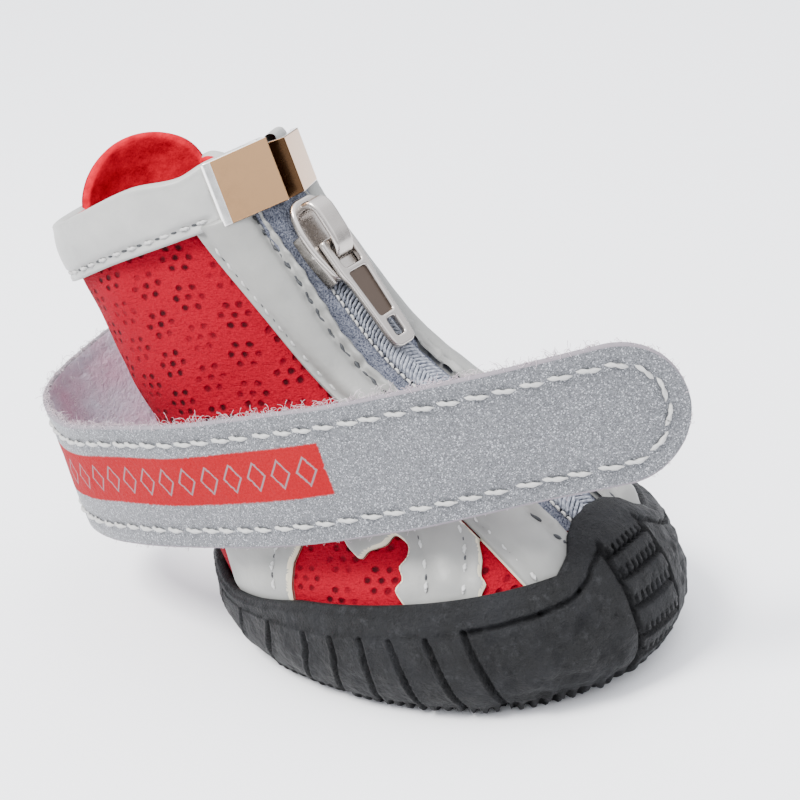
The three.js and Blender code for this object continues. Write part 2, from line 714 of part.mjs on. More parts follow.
function makeSlider() {
  const end = SLIDER.length / 2;
  const half = SLIDER_HALF;
  const plate = [
    [-end, -0.45 * half], [-0.8 * end, -0.8 * half], [-0.35 * end, -half], [0.25 * end, -half],
    [end, -0.74 * half], [end, 0.74 * half], [0.25 * end, half], [-0.35 * end, half],
    [-0.8 * end, 0.8 * half], [-end, 0.45 * half],
  ];
  const base = frameMatrix(SLIDER);
  let solid = plateSolid(plate, SLIDER_PLATE, base);
  const wall = TEETH_HALF + GAP;
  for (const side of [-1, 1]) {
    const flange = [
      [-0.3 * end, side * wall], [-0.3 * end, side * half * 0.98], [0.25 * end, side * half * 0.98],
      [end * 0.98, side * (wall + 0.1)], [end * 0.98, side * wall],
    ];
    const drop = new THREE.Matrix4().makeTranslation(0, 0, -1.5);
    solid = solid.add(plateSolid(flange, 1.7, base.clone().multiply(drop)));
  }
  const top = SLIDER_PLATE + BRIDGE_RISE;
  const [rear, front] = [-0.86 * end, PULL_AXIS.along + 3.1];
  const bridge = [
    [rear, SLIDER_PLATE / 2], [rear + 0.1, top * 0.66], [rear + 1.0, top * 0.92], [rear + 2.6, top],
    [front - 3.4, top * 0.97], [front - 1.3, top * 0.84], [front, top * 0.5], [front, SLIDER_PLATE / 2],
  ];
  const bar = BRIDGE_BAR;
  const inside = [
    [rear + bar, SLIDER_PLATE], [rear + bar + 0.1, top * 0.6], [rear + 2.6, top - bar],
    [front - 3.4, top * 0.97 - bar], [front - bar * 1.3, top * 0.58], [front - bar, SLIDER_PLATE],
  ];
  return solid.add(plateSolid(bridge, 2 * BRIDGE_HALF, uprightMatrix(SLIDER, BRIDGE_HALF), inside));
}

function pullFrame() {
  const axis = SLIDER.origin.clone()
    .addScaledVector(SLIDER.along, PULL_AXIS.along)
    .addScaledVector(SLIDER.out, PULL_AXIS.out);
  const seat = skin(0, 0.56, TEETH_RISE + 2 * GAP + PULL_THICK / 2);
  const along = seat.sub(axis).normalize();
  const out = new THREE.Vector3().crossVectors(along, SLIDER.across);
  return { origin: axis, along, across: SLIDER.across, out };
}

function makePull() {
  const frame = pullFrame();
  const half = PULL_HALF;
  const bar = 0.55;
  const eye = 4.5; // the eye is open from the bar to here
  const low = frameMatrix(frame).multiply(new THREE.Matrix4().makeTranslation(0, 0, -PULL_THICK / 2));
  const outline = [
    [-bar, -half], [eye + 1, -half], [eye + 3, -half * 0.86], [PULL_LENGTH - 2, -half * 0.76],
    [PULL_LENGTH - 0.6, -half * 0.7], [PULL_LENGTH, -half * 0.42], [PULL_LENGTH, half * 0.42],
    [PULL_LENGTH - 0.6, half * 0.7], [PULL_LENGTH - 2, half * 0.76], [eye + 3, half * 0.86],
    [eye + 1, half], [-bar, half],
  ];
  const rail = BRIDGE_HALF + 0.4;
  const hole = [[bar, -rail], [bar, rail], [eye, rail], [eye, -rail]];
  let solid = plateSolid(outline, PULL_THICK, low, hole);
  const slot = [[PULL_LENGTH - 4.6, -0.9], [PULL_LENGTH - 1.6, -0.9], [PULL_LENGTH - 1.6, 0.9], [PULL_LENGTH - 4.6, 0.9]];
  const through = low.clone().multiply(new THREE.Matrix4().makeTranslation(0, 0, -1));
  solid = solid.subtract(plateSolid(slot, PULL_THICK + 2, through));
  const panel = [[eye + 1.4, -1.25], [PULL_LENGTH - 5.4, -1.25], [PULL_LENGTH - 5.4, 1.25], [eye + 1.4, 1.25]];
  const face = low.clone().multiply(new THREE.Matrix4().makeTranslation(0, 0, PULL_THICK - 0.35));
  return solid.subtract(plateSolid(panel, 1, face));
}

// Strap

function strapStations() {
  const stations = [];
  for (let i = 0; i <= 4; i += 1) {
    const around = lerp(STRAP_SEAM.first, STRAP_SEAM.last, i / 4);
    const middle = skin(around, STRAP_SEAM.height - 0.02 * i / 4, 4 * GAP + STRAP_THICK / 2);
    const up = skin(around, STRAP_SEAM.height + 0.05, 0).sub(skin(around, STRAP_SEAM.height - 0.05, 0)).normalize();
    stations.push({ middle, up });
  }
  for (const row of STRAP_PATH) {
    const lean = THREE.MathUtils.degToRad(row.lean);
    stations.push({
      middle: new THREE.Vector3(row.x * HALF_LENGTH, row.y * HALF_WIDTH, row.z * BOOT_HEIGHT),
      up: new THREE.Vector3(-Math.sin(lean), 0, Math.cos(lean)),
    });
  }
  return stations;
}

function makeStrap() {
  const stations = strapStations();
  const path = new THREE.CatmullRomCurve3(stations.map((s) => s.middle), false, 'centripetal');
  const ups = new THREE.CatmullRomCurve3(stations.map((s) => s.up), false, 'centripetal');
  const knots = stations.length - 1;
  const length = path.getLength();
  const radius = STRAP_WIDTH / 2;
  const steps = 48;
  const places = [];
  for (let i = 0; i <= steps; i += 1) places.push(i / steps);
  for (const share of [0.5, 0.7, 0.84, 0.93, 0.985]) places.push(1 - (radius * (1 - share)) / length);
  places.sort((a, b) => a - b);
  const loops = places.map((place) => {
    const t = path.getUtoTmapping(place);
    const middle = path.getPoint(t);
    const tangent = path.getTangent(t);
    const up = ups.getPoint(t);
    up.addScaledVector(tangent, -up.dot(tangent)).normalize();
    const out = new THREE.Vector3().crossVectors(tangent, up).normalize();
    const left = length * (1 - place);
    const into = Math.max(0, 1 - left / radius);
    const half = Math.max(0.12, Math.sqrt(Math.max(0, 1 - into * into))) * radius;
    const corner = (a, b) => middle.clone().addScaledVector(up, a * half).addScaledVector(out, (b * STRAP_THICK) / 2);
    return [corner(-1, -1), corner(1, -1), corner(1, 1), corner(-1, 1)];
  });
  if (knots < 2) throw new Error('the strap needs a path');
  return loft(loops, 'fan');
}

// Assembly

const FINISHES = {
  rubber: { color: 0x2b2c2e, roughness: 0.75, metalness: 0 },
  mesh: { color: 0xd8121c, roughness: 0.8, metalness: 0 },
  leather: { color: 0xb9bab4, roughness: 0.55, metalness: 0 },
  lining: { color: 0xc9242b, roughness: 0.9, metalness: 0 },
  webbing: { color: 0x8f949a, roughness: 0.7, metalness: 0.1 },
  tape: { color: 0x9aa3b4, roughness: 0.6, metalness: 0 },
  metal: { color: 0xb9b2a6, roughness: 0.25, metalness: 1 },
  clip: { color: 0xc6a98a, roughness: 0.12, metalness: 1 },
};

const boot = new THREE.Group();

function place(name, solid, finish) {
  const mesh = new THREE.Mesh(geometryOf(solid), new THREE.MeshStandardMaterial(FINISHES[finish]));
  mesh.name = name;
  boot.add(mesh);
}

place('outsole', makeOutsole(), 'rubber');
place('insole', makeInsole(), 'lining');
place('upper', makeUpper(), 'mesh');
place('collar_band', makeCollarBand(), 'leather');
for (const [name, side] of [['right', -1], ['left', 1]]) {
  place(`zip_facing_${name}`, makeFacing(side), 'leather');
  place(`side_overlay_${name}`, makeOverlay(side), 'leather');
  place(`collar_clip_${name}`, makeClip(side), 'clip');
}
place('zip_tape', makeTape(), 'tape');
place('zip_teeth', makeTeeth(), 'tape');
place('zip_slider', makeSlider(), 'metal');
place('zip_pull', makePull(), 'metal');
place('strap', makeStrap(), 'webbing');

export default boot;
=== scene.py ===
"""Looks of the dog boot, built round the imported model. Lengths are in millimetres until a mesh is made."""

import math

import bpy
import numpy as np
from mathutils import Matrix, Vector, geometry


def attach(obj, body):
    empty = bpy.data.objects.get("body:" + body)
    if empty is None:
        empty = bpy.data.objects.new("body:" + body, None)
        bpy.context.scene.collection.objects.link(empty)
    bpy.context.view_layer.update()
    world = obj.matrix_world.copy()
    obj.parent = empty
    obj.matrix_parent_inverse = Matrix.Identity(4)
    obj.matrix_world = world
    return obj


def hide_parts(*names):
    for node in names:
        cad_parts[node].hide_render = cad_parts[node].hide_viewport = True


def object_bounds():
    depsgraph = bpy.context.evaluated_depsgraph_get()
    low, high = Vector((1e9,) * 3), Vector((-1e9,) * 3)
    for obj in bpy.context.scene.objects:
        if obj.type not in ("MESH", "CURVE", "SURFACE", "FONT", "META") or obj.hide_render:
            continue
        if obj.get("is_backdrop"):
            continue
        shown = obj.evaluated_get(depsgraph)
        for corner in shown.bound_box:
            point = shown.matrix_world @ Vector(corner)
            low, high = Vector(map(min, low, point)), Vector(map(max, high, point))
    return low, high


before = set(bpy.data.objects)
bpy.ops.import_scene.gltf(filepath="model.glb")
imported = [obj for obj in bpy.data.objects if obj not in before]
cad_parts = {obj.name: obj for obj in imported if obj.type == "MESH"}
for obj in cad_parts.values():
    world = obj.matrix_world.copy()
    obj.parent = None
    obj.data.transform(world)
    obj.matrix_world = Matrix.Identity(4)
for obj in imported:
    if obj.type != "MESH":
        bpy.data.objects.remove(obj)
cad_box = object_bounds()

MM = 0.001
rng = np.random.default_rng(7)

# Sizes of the boot, as in the solids
HALF_LENGTH = 39.0
HALF_WIDTH = 27.75
BOOT_HEIGHT = 75.8
WALL = 1.8
LEATHER = 1.3
BAND = 1.9
RUBBER = 2.3
LIP = 1.75
ZIP_GAP = 5.0
REACH = 0.22
STRIP_HALF = 0.056
STRAP_WIDTH = 20.0
STRAP_THICK = 2.0
STRAP_EDGE = 3.0
SEWN = 24.0
TEETH_RISE = 1.0
GAP = 0.3
# place of the back tab, and its height as a share
TAB_MIDDLE = 0.83
TAB_HALF = 0.205
TAB_RISE = 8.8 / (BOOT_HEIGHT * 0.68)
# the strap's print, along it and up it
PRINT_FROM, PRINT_TO, PRINT_LOW, PRINT_HIGH = 79.0, 146.7, -2.9, 5.1
DIAMOND_PITCH = 4.7
FIBRE_STEPS = 8
# millimetres per share, for spacing on the leather's plan only
DOMAIN = np.array([82.0, 72.0])
STRIP_WIDE = 0.0285
REAR_SEAM = 0.019

# height on the upper, back x and z, front x and z, half width, egg, square
SECTIONS = np.array([
    (0.00, -0.882, 0.061, 0.887, 0.074, 0.865, -0.03, 0.03),
    (0.10, -0.923, 0.096, 0.933, 0.148, 0.908, -0.03, 0.03),
    (0.20, -0.969, 0.150, 0.836, 0.245, 0.886, 0.00, 0.02),
    (0.30, -1.072, 0.232, 0.631, 0.338, 0.778, 0.08, 0.00),
    (0.42, -1.190, 0.343, 0.287, 0.462, 0.677, 0.16, 0.00),
    (0.55, -1.297, 0.462, -0.033, 0.574, 0.605, 0.18, 0.00),
    (0.68, -1.421, 0.580, -0.251, 0.706, 0.569, 0.17, 0.00),
    (0.84, -1.523, 0.712, -0.467, 0.864, 0.548, 0.16, 0.00),
    (1.00, -1.579, 0.810, -0.544, 1.000, 0.541, 0.15, 0.00),
    (1.15, -1.564, 0.910, -0.600, 1.099, 0.483, 0.15, 0.00),
])
RAND = np.array([
    (0.00, 0.268), (0.05, 0.262), (0.085, 0.245), (0.107, 0.222), (0.142, 0.200), (0.31, 0.198),
    (0.53, 0.198), (0.62, 0.178), (0.70, 0.166), (0.80, 0.185), (0.90, 0.230), (1.00, 0.250),
])
COLLAR_TOP = np.array([
    (0.00, 0.990), (0.22, 0.995), (0.30, 0.985), (0.42, 1.008), (0.58, 0.998), (0.72, 0.988), (1.00, 1.000),
])
COLLAR_LOW = np.array([(0.00, 0.860), (0.40, 0.855), (0.52, 0.850), (0.73, 0.828), (1.00, 0.820)])
FACING_REAR = np.array([
    (0.18, 0.184), (0.29, 0.214), (0.42, 0.238), (0.55, 0.253), (0.72, 0.277), (0.86, 0.302),
])
OVERLAY_REAR = np.array([(0.15, 0.700), (0.27, 0.668), (0.34, 0.650), (0.44, 0.640)])
OVERLAY_TOP = np.array([(0.20, 0.440), (0.34, 0.425), (0.50, 0.385), (0.70, 0.365)])
SIDE_WINDOW = [
    (0.545, 0.150), (0.545, 0.217), (0.520, 0.268), (0.486, 0.305), (0.465, 0.340), (0.425, 0.345),
    (0.410, 0.325), (0.412, 0.300), (0.404, 0.279), (0.385, 0.291), (0.355, 0.298), (0.332, 0.311),
    (0.323, 0.296), (0.334, 0.279), (0.354, 0.264), (0.358, 0.245), (0.376, 0.226), (0.376, 0.150),
]
TOE_WINDOW = [
    (0.262, 0.150), (0.262, 0.203), (0.246, 0.222), (0.246, 0.237), (0.232, 0.258), (0.218, 0.285),
    (0.190, 0.295), (0.196, 0.270), (0.172, 0.160),
]
OVERLAY_SEAMS = [
    [(0.285, 0.40), (0.292, 0.335), (0.300, 0.30), (0.316, 0.258), (0.336, 0.212), (0.342, 0.19)],
    [(0.226, 0.34), (0.236, 0.295), (0.260, 0.255), (0.284, 0.212), (0.292, 0.19)],
    [(0.50, 0.345), (0.515, 0.315), (0.542, 0.285), (0.567, 0.25), (0.578, 0.19)],
]
# at, inset, height at the heel, height at the toe
RIM = np.array([(0.00, 5.25, 0.0, 0.0), (0.14, 2.6, 1.6, 1.8), (0.28, 0.9, 3.8, 4.4), (0.42, 0.1, 6.2, 8.0)])
CLING_AT = 0.58
CLING_HEIGHT = 0.14
# around, top, slant
SLOTS = [
    (0.294, 0.68, -0.016), (0.347, 0.61, -0.014), (0.399, 0.60, -0.010), (0.447, 0.60, 0.000),
    (0.494, 0.59, 0.008), (0.540, 0.58, 0.012), (0.610, 0.57, 0.014), (0.680, 0.57, 0.016),
    (0.760, 0.57, 0.016), (0.850, 0.60, 0.016),
]
BLOCK_TOP = [(0.062, 0.84), (0.125, 0.79), (0.195, 0.725), (0.294, 0.68)]
RIB_HOLLOWS = [0.24, 0.38, 0.52, 0.66, 0.78]
TREAD_PITCH = 6.6
# x, y, z in shares and the lean of the top edge
STRAP_PATH = np.array([
    (-1.450, 0.500, 0.450, 20), (-1.600, 0.350, 0.400, 17), (-1.700, 0.120, 0.358, 14),
    (-1.728, -0.130, 0.332, 13), (-1.675, -0.380, 0.318, 14), (-1.530, -0.590, 0.312, 16),
    (-1.310, -0.755, 0.325, 18), (-1.020, -0.865, 0.360, 18), (-0.665, -0.912, 0.397, 17),
    (-0.305, -0.912, 0.438, 12), (0.055, -0.868, 0.481, 8), (0.365, -0.765, 0.518, 6),
    (0.620, -0.610, 0.546, 5), (0.850, -0.415, 0.567, 5), (1.055, -0.200, 0.581, 5),
    (1.205, -0.010, 0.586, 5),
])


# Mathematics


def smooth(value, low, high):
    t = np.clip((np.asarray(value, float) - low) / (high - low), 0, 1)
    return t * t * (3 - 2 * t)


def hermite(t, a, slope_a, b, slope_b, step=1.0):
    """Cubic from a to b with the given slopes."""
    t2, t3 = t * t, t * t * t
    return (
        (2 * t3 - 3 * t2 + 1) * a + (t3 - 2 * t2 + t) * step * slope_a
        + (3 * t2 - 2 * t3) * b + (t3 - t2) * step * slope_b
    )


def curve(table, column, value):
    """Smooth reading of a table, whose first column is the place."""
    x, y = table[:, 0], table[:, column]
    value = np.asarray(value, float)
    n = len(x)
    i = np.clip(np.searchsorted(x, value, side="right") - 1, 0, n - 2)
    low, high = np.maximum(np.arange(n) - 1, 0), np.minimum(np.arange(n) + 1, n - 1)
    slope = (y[high] - y[low]) / (x[high] - x[low])
    step = x[i + 1] - x[i]
    return hermite((value - x[i]) / step, y[i], slope[i], y[i + 1], slope[i + 1], step)


def unit(v):
    return v / np.maximum(np.linalg.norm(v, axis=-1, keepdims=True), 1e-12)


def pairs(x, y):
    return np.stack([x, y], -1)


def run_of(points):
    """Distances along a line of points, from its first."""
    return np.concatenate([[0], np.cumsum(np.linalg.norm(np.diff(points, axis=0), axis=1))])


def read_at(places, length, values):
    """Rows of values, read at other distances along their line."""
    return np.stack([np.interp(places, length, column) for column in values.T], -1)


def averaged(values, count):
    """Running mean of rows of values, with the ends held."""
    padded = np.pad(values, ((count // 2, count // 2), (0, 0)), mode="edge")
    return np.stack([np.convolve(column, np.ones(count) / count, "valid") for column in padded.T], -1)


def turn_of(around):
    """Place round the boot between -1 and 1, with 0 at the zip."""
    return (np.asarray(around, float) + 1) % 2 - 1


def noise(points, scale, seed=0):
    """Smooth value noise between -1 and 1."""
    q = np.asarray(points, float) / scale + seed * 31.7
    cell = np.floor(q)
    f = q - cell
    f = f * f * (3 - 2 * f)
    total = 0
    for corner in np.ndindex(2, 2, 2):
        c = cell + corner
        h = np.sin(c[..., 0] * 127.1 + c[..., 1] * 311.7 + c[..., 2] * 74.7 + seed) * 43758.5453
        share = np.where(corner, f, 1 - f)
        total = total + (h - np.floor(h)) * (share[..., 0] * share[..., 1]) * share[..., 2]
    return total * 2 - 1


# The boot's surfaces


def ring_point(around, height):
    """Point on the upper's outside."""
    around, height = np.broadcast_arrays(np.asarray(around, float), np.asarray(height, float))
    back_x, back_z, front_x, front_z, half, egg, square = (curve(SECTIONS, k, height) for k in range(1, 8))

    def oval(share):
        c, s = np.cos(np.pi * share), np.sin(np.pi * share)
        return c * (1 + square * s * s), s * (1 + square * c * c) * (1 - egg * c)

    along, across = oval(around)
    turn = turn_of(around)
    flat = smooth(height, 0.7, 0.85) * (np.abs(turn) < REACH)
    edge_along, edge_across = oval(np.sign(turn) * REACH)
    t = np.sin(np.pi * np.abs(turn)) / math.sin(math.pi * REACH)
    along = along + (1 + (edge_along - 1) * t - along) * flat
    across = across + (edge_across * t - across) * flat
    x = ((back_x + front_x) / 2 + along * (front_x - back_x) / 2) * HALF_LENGTH
    z = ((back_z + front_z) / 2 + along * (front_z - back_z) / 2) * BOOT_HEIGHT
    return np.stack([x, across * half * HALF_WIDTH, z], -1)


def collar_top(around):
    """Height of the collar's top; the far side sags a little."""
    turn = turn_of(around)
    sag = 0.078 * smooth(turn, 0.17, 0.25) * smooth(turn, 0.62, 0.5)
    return curve(COLLAR_TOP, 1, np.abs(turn)) - sag


def facing_out(surface, around, height, step):
    across = surface(around + step, height) - surface(around - step, height)
    up = surface(around, height + step) - surface(around, height - step)
    return unit(np.cross(across, up))


def out_of(around, height):
    """Direction out of the upper."""
    return facing_out(ring_point, around, height, 0.002)


def skin(around, height, offset):
    """Point at an offset outside the upper."""
    around, height = np.asarray(around, float), np.asarray(height, float)
    return ring_point(around, height) + out_of(around, height) * np.asarray(offset)[..., None]


def around_at(distance, height):
    """Place round the boot at a distance in y from the zip's middle."""
    width = curve(SECTIONS, 5, height) * HALF_WIDTH
    return np.arcsin(distance / (width * (1 - curve(SECTIONS, 6, height)))) / np.pi


def rand_at(around):
    """Height of the sole's upper edge."""
    return np.interp(np.abs(turn_of(around)), RAND[:, 0], RAND[:, 1])


def tread_at(x):
    toe = np.maximum(0, (x / HALF_LENGTH - 0.44) / 0.56)
    heel = np.maximum(0, (-x / HALF_LENGTH - 0.62) / 0.38)
    return 2.2 * toe**2 + 1.0 * heel**2


def rim_point(around, at):
    c, s = np.cos(np.pi * around), np.sin(np.pi * around)
    inset = curve(RIM, 1, at)
    x = (HALF_LENGTH - inset) * c * (1 + 0.03 * s * s)
    y = (HALF_WIDTH - inset) * s * (1 + 0.03 * c * c) * (1 + 0.03 * c)
    z = curve(RIM, 2, at) * (1 - c) / 2 + curve(RIM, 3, at) * (1 + c) / 2
    return np.stack([x, y, z + tread_at(x) * (1 - at)], -1)


def rubber_point(around, at):
    """Point on the sole's side: at runs from 0 at the tread to 1 at the rand's top."""
    around, at = np.broadcast_arrays(np.asarray(around, float), np.asarray(at, float))
    high = RIM[-1, 0]
    rise = np.clip((at - CLING_AT) / (1 - CLING_AT), 0, 1)
    height = CLING_HEIGHT + (rand_at(around) - CLING_HEIGHT) * rise
    upper = skin(around, height, RUBBER + (LIP - RUBBER) * smooth(rise, 0.75, 1))
    t = smooth(at, high - 0.03, CLING_AT + 0.03)[..., None]
    return rim_point(around, np.minimum(at, high)) * (1 - t) + upper * t


# Mesh making


def linked(name, data):
    obj = bpy.data.objects.new(name, data)
    bpy.context.scene.collection.objects.link(obj)
    return obj


def mesh_object(name, verts, faces, material, uvs=None, slots=None):
    mesh = bpy.data.meshes.new(name)
    mesh.from_pydata((np.asarray(verts) * MM).tolist(), [], [list(map(int, f)) for f in faces])
    for m in material if isinstance(material, list) else [material]:
        mesh.materials.append(m)
    if slots is not None:
        mesh.polygons.foreach_set("material_index", np.asarray(slots, int))
    mesh.polygons.foreach_set("use_smooth", np.ones(len(mesh.polygons), bool))
    if uvs is not None:
        layer = mesh.uv_layers.new(name="mm")
        index = np.zeros(len(mesh.loops), int)
        mesh.loops.foreach_get("vertex_index", index)
        layer.data.foreach_set("uv", np.asarray(uvs, float)[index].ravel())
    return linked(name, mesh)


def grid_faces(rows, columns, closed=False):
    index = np.arange(rows * columns).reshape(rows, columns)
    after = np.roll(index, -1, 1) if closed else index[:, 1:]
    here = index if closed else index[:, :-1]
    return np.stack([here[:-1], after[:-1], after[1:], here[1:]], -1).reshape(-1, 4)


def capped_faces(rows, columns):
    """Faces of a row of closed rings with a cap at both ends."""
    caps = [list(range(columns))[::-1], list(range((rows - 1) * columns, rows * columns))]
    return grid_faces(rows, columns, True).tolist() + caps


def tubes(lines, radius, sides=6, taper=1.0, twist=0.0):
    """Vertices and faces of round tubes along many lines of equal length, shape (count, steps, 3)."""
    lines = np.asarray(lines, float)
    count, steps = lines.shape[:2]
    tangent = unit(np.gradient(lines, axis=1))
    helper = np.where(np.abs(tangent[..., 2:3]) > 0.9, (1.0, 0.0, 0.0), (0.0, 0.0, 1.0))
    side = unit(np.cross(tangent, helper))
    other = np.cross(tangent, side)
    radius = np.broadcast_to(np.asarray(radius, float), (count, steps)) * taper
    angle = np.arange(sides) * 2 * np.pi / sides
    ring = side[:, :, None] * np.cos(angle)[:, None] + other[:, :, None] * np.sin(angle)[:, None]
    swell = 1 + twist * np.cos(2 * angle[None, :] - np.arange(steps)[:, None] * 0.75)
    verts = lines[:, :, None] + ring * radius[..., None, None] * swell[None, :, :, None]
    size = steps * sides
    starts = np.arange(count) * size
    quads = (grid_faces(steps, sides, True)[None] + starts[:, None, None]).reshape(-1, 4).tolist()
    caps = [range(sides)[::-1], range(size - sides, size)]
    return verts.reshape(-1, 3), quads + [[start + k for k in cap] for start in starts for cap in caps]


def stitch_run(points, normals, pitch, share, radius, lift, start=0.0, slant=0.9):
    """Lines of single stitches along a seam."""
    length = run_of(points)
    count = max(1, int((length[-1] - start) / pitch))
    first = start + np.arange(count) * pitch + rng.uniform(-0.08, 0.08, count) * pitch
    t = np.linspace(0, 1, len(STITCH_TAPER))
    places = first[:, None] + t[None] * pitch * share * rng.uniform(0.92, 1.06, (count, 1))
    at, out = read_at(places, length, points), unit(read_at(places, length, normals))
    hop = (np.sin(np.pi * t) ** 0.6) * lift - radius * 0.9
    swing = np.cross(unit(np.gradient(at, axis=1)), out) * (t - 0.5)[None, :, None] * radius * slant
    return at + out * hop[None, :, None] + swing


STITCH_TAPER = np.array([0.45, 0.9, 1.05, 1.1, 1.05, 0.9, 0.45])


def thread(name, runs, radius, material, twist=0.0):
    """Single stitches; twist gives them the look of two strands laid round each other."""
    lines, taper = np.concatenate(runs), STITCH_TAPER
    if twist:
        t = np.linspace(0, 6, 19)
        low = np.minimum(t.astype(int), 5)
        share = (t - low)[None, :, None]
        lines = lines[:, low] * (1 - share) + lines[:, low + 1] * share
        taper = np.interp(t, np.arange(7), STITCH_TAPER)
    verts, faces = tubes(lines, radius, 10 if twist else 8, taper[None], twist)
    return mesh_object(name, verts, faces, material)


# Materials


class Value:
    """A number or color that a node gives; arithmetic with it adds math nodes."""

    def __init__(self, nodes, socket):
        self.nodes, self.socket = nodes, socket

    def __add__(self, other):
        return self.nodes.math("ADD", self, other)

    def __sub__(self, other):
        return self.nodes.math("SUBTRACT", self, other)

    def __rsub__(self, other):
        return self.nodes.math("SUBTRACT", other, self)

    def __mul__(self, other):
        return self.nodes.math("MULTIPLY", self, other)

    def __truediv__(self, other):
        return self.nodes.math("DIVIDE", self, other)

    def __mod__(self, other):
        return self.nodes.math("MODULO", self, other)

    def __abs__(self):
        return self.nodes.math("ABSOLUTE", self)

    def __round__(self):
        return self.nodes.math("ROUND", self)


class Nodes:
    """Short hand for a material's node tree."""

    def __init__(self, name, color, roughness, metallic=0.0, specular=0.5):
        self.material = bpy.data.materials.new(name)
        self.material.use_nodes = True
        self.tree = self.material.node_tree
        self.shader = self.tree.nodes["Principled BSDF"]
        self.set("Base Color", (*color, 1))
        self.set("Roughness", roughness)
        self.set("Metallic", metallic)
        self.set("Specular IOR Level", specular)

    def set(self, socket, value):
        self.put(value, self.shader.inputs[socket])

    def put(self, value, socket):
        if isinstance(value, Value):
            self.tree.links.new(value.socket, socket)
        else:
            socket.default_value = value

    def node(self, kind, inputs=(), output=0, **facts):
        """Adds a node and gives one of its outputs."""
        node = self.tree.nodes.new(kind)
        for key, value in facts.items():
            setattr(node, key, value)
        for key, value in dict(inputs).items():
            self.put(value, node.inputs[key])
        return Value(self, node.outputs[output])

    def math(self, operation, a, b=0.0):
        return self.node("ShaderNodeMath", {0: a, 1: b}, operation=operation)

    def ramp(self, value, low, high, to_low=0.0, to_high=1.0):
        return self.node("ShaderNodeMapRange", {0: value, 1: low, 2: high, 3: to_low, 4: to_high}, clamp=True)

    def mix(self, share, a, b):
        a, b = ((*c, 1) if isinstance(c, tuple) else c for c in (a, b))
        return self.node("ShaderNodeMix", {0: share, 6: a, 7: b}, 2, data_type="RGBA")

    def place(self):
        return self.node("ShaderNodeTexCoord", output="Object")

    def uv(self):
        return self.node("ShaderNodeUVMap", uv_map="mm")

    def split(self, vector):
        """The x and y of a vector."""
        return [self.node("ShaderNodeSeparateXYZ", {0: vector}, k) for k in (0, 1)]

    def noise(self, scale, detail=3.0, vector=None, rough=0.55):
        inputs = {"Scale": scale, "Detail": detail, "Roughness": rough, "Vector": vector or self.place()}
        return self.node("ShaderNodeTexNoise", inputs)

    def cells(self, scale, vector=None, output="Distance"):
        return self.node("ShaderNodeTexVoronoi", {"Scale": scale, "Vector": vector or self.place()}, output)

    def bump(self, height, distance, strength=1.0):
        """Adds relief on top of the relief that is there."""
        inputs = {"Height": height, "Distance": distance, "Strength": strength}
        for link in self.shader.inputs["Normal"].links:
            inputs["Normal"] = Value(self, link.from_socket)
        self.set("Normal", self.node("ShaderNodeBump", inputs))


def rubber_look():
    m = Nodes("rubber", (0.008, 0.0085, 0.010), 0.6, 0, 0.22)
    patches = m.noise(150, 5, rough=0.65)
    dust = m.ramp(m.noise(520, 5, rough=0.85), 0.54, 0.68)
    base = m.mix(m.ramp(patches, 0.38, 0.66), (0.0018, 0.002, 0.0024), (0.0085, 0.009, 0.0105))
    m.set("Base Color", m.mix(dust * 0.45, base, (0.036, 0.037, 0.040)))
    m.set("Roughness", m.ramp(patches, 0.3, 0.7, 0.46, 0.74))
    m.bump(m.noise(1100, 5, rough=0.75), 0.0006)
    m.bump(m.noise(330, 4, rough=0.7), 0.0012, 0.9)
    return m.material


def mesh_look():
    m = Nodes("red_mesh", (0.27, 0.0, 0.01), 0.75, 0, 0.08)
    uv = m.uv()
    x, y = m.split(uv)
    step, rise = 2.2, 1.55
    row = round(y / rise)
    odd = abs(row) % 2.0 * 0.5
    column = round(x / step + odd) - odd
    middle_x, middle_y = column * step, row * rise
    dx, dy = x - middle_x, (y - middle_y) * 1.15
    reach = m.math("SQRT", dx * dx + dy * dy) + (m.noise(0.9, 2, uv) - 0.5) * 0.5
    hole = m.ramp(reach, 0.28, 0.66, 1.0, 0.0)
    # clusters of holes in staggered columns
    wide, tall = 3 * step, 4 * rise
    file = round(middle_x / wide)
    up = middle_y - abs(file) % 2.0 * (tall / 2)
    ex = (middle_x - file * wide) / 2.7
    ey = (up - round(up / tall) * tall) / 2.1
    hole = hole * m.ramp(ex * ex + ey * ey, 0.95, 1.0, 1.0, 0.0)
    hole = hole * m.ramp(m.noise(0.16, 2, uv), 0.38, 0.6, 0.3, 1.0)
    fuzz = m.noise(5.0, 4, uv, 0.7)
    drawn = m.node("ShaderNodeVectorMath", {0: uv, 1: (0.7, 3.0, 1.0)}, operation="MULTIPLY")
    streak = m.noise(1.5, 3, drawn, 0.7)
    base = m.mix(m.ramp(fuzz, 0.3, 0.7), (0.22, 0.0, 0.007), (0.37, 0.0, 0.017))
    base = m.mix(m.ramp(streak, 0.30, 0.48, 0.55, 0.0), base, (0.085, 0.0, 0.003))
    # pale pink specks: painted glints of the fibres
    base = m.mix(m.ramp(m.noise(4.5, 3, uv, 0.85), 0.66, 0.74) * 0.6, base, (0.55, 0.08, 0.09))
    # the holes are painted near black: painted shade for the dark inside seen through them
    m.set("Base Color", m.mix(hole * 0.94, base, (0.022, 0.0, 0.002)))
    m.bump(m.cells(1.9, uv), 0.00022, 0.8)
    m.bump(streak, 0.0004, 0.7)
    m.bump(fuzz, 0.0003, 0.7)
    m.bump(1.0 - hole, 0.0006, 0.9)
    return m.material


def lining_look():
    m = Nodes("lining", (0.26, 0.002, 0.002), 0.9, 0, 0.06)
    brushed = m.noise(420, 5, rough=0.7)
    m.set("Base Color", m.mix(m.ramp(brushed, 0.3, 0.7), (0.27, 0.0, 0.008), (0.52, 0.004, 0.020)))
    m.bump(brushed, 0.0004, 0.8)
    m.bump(m.noise(130, 2), 0.0016, 0.8)
    return m.material


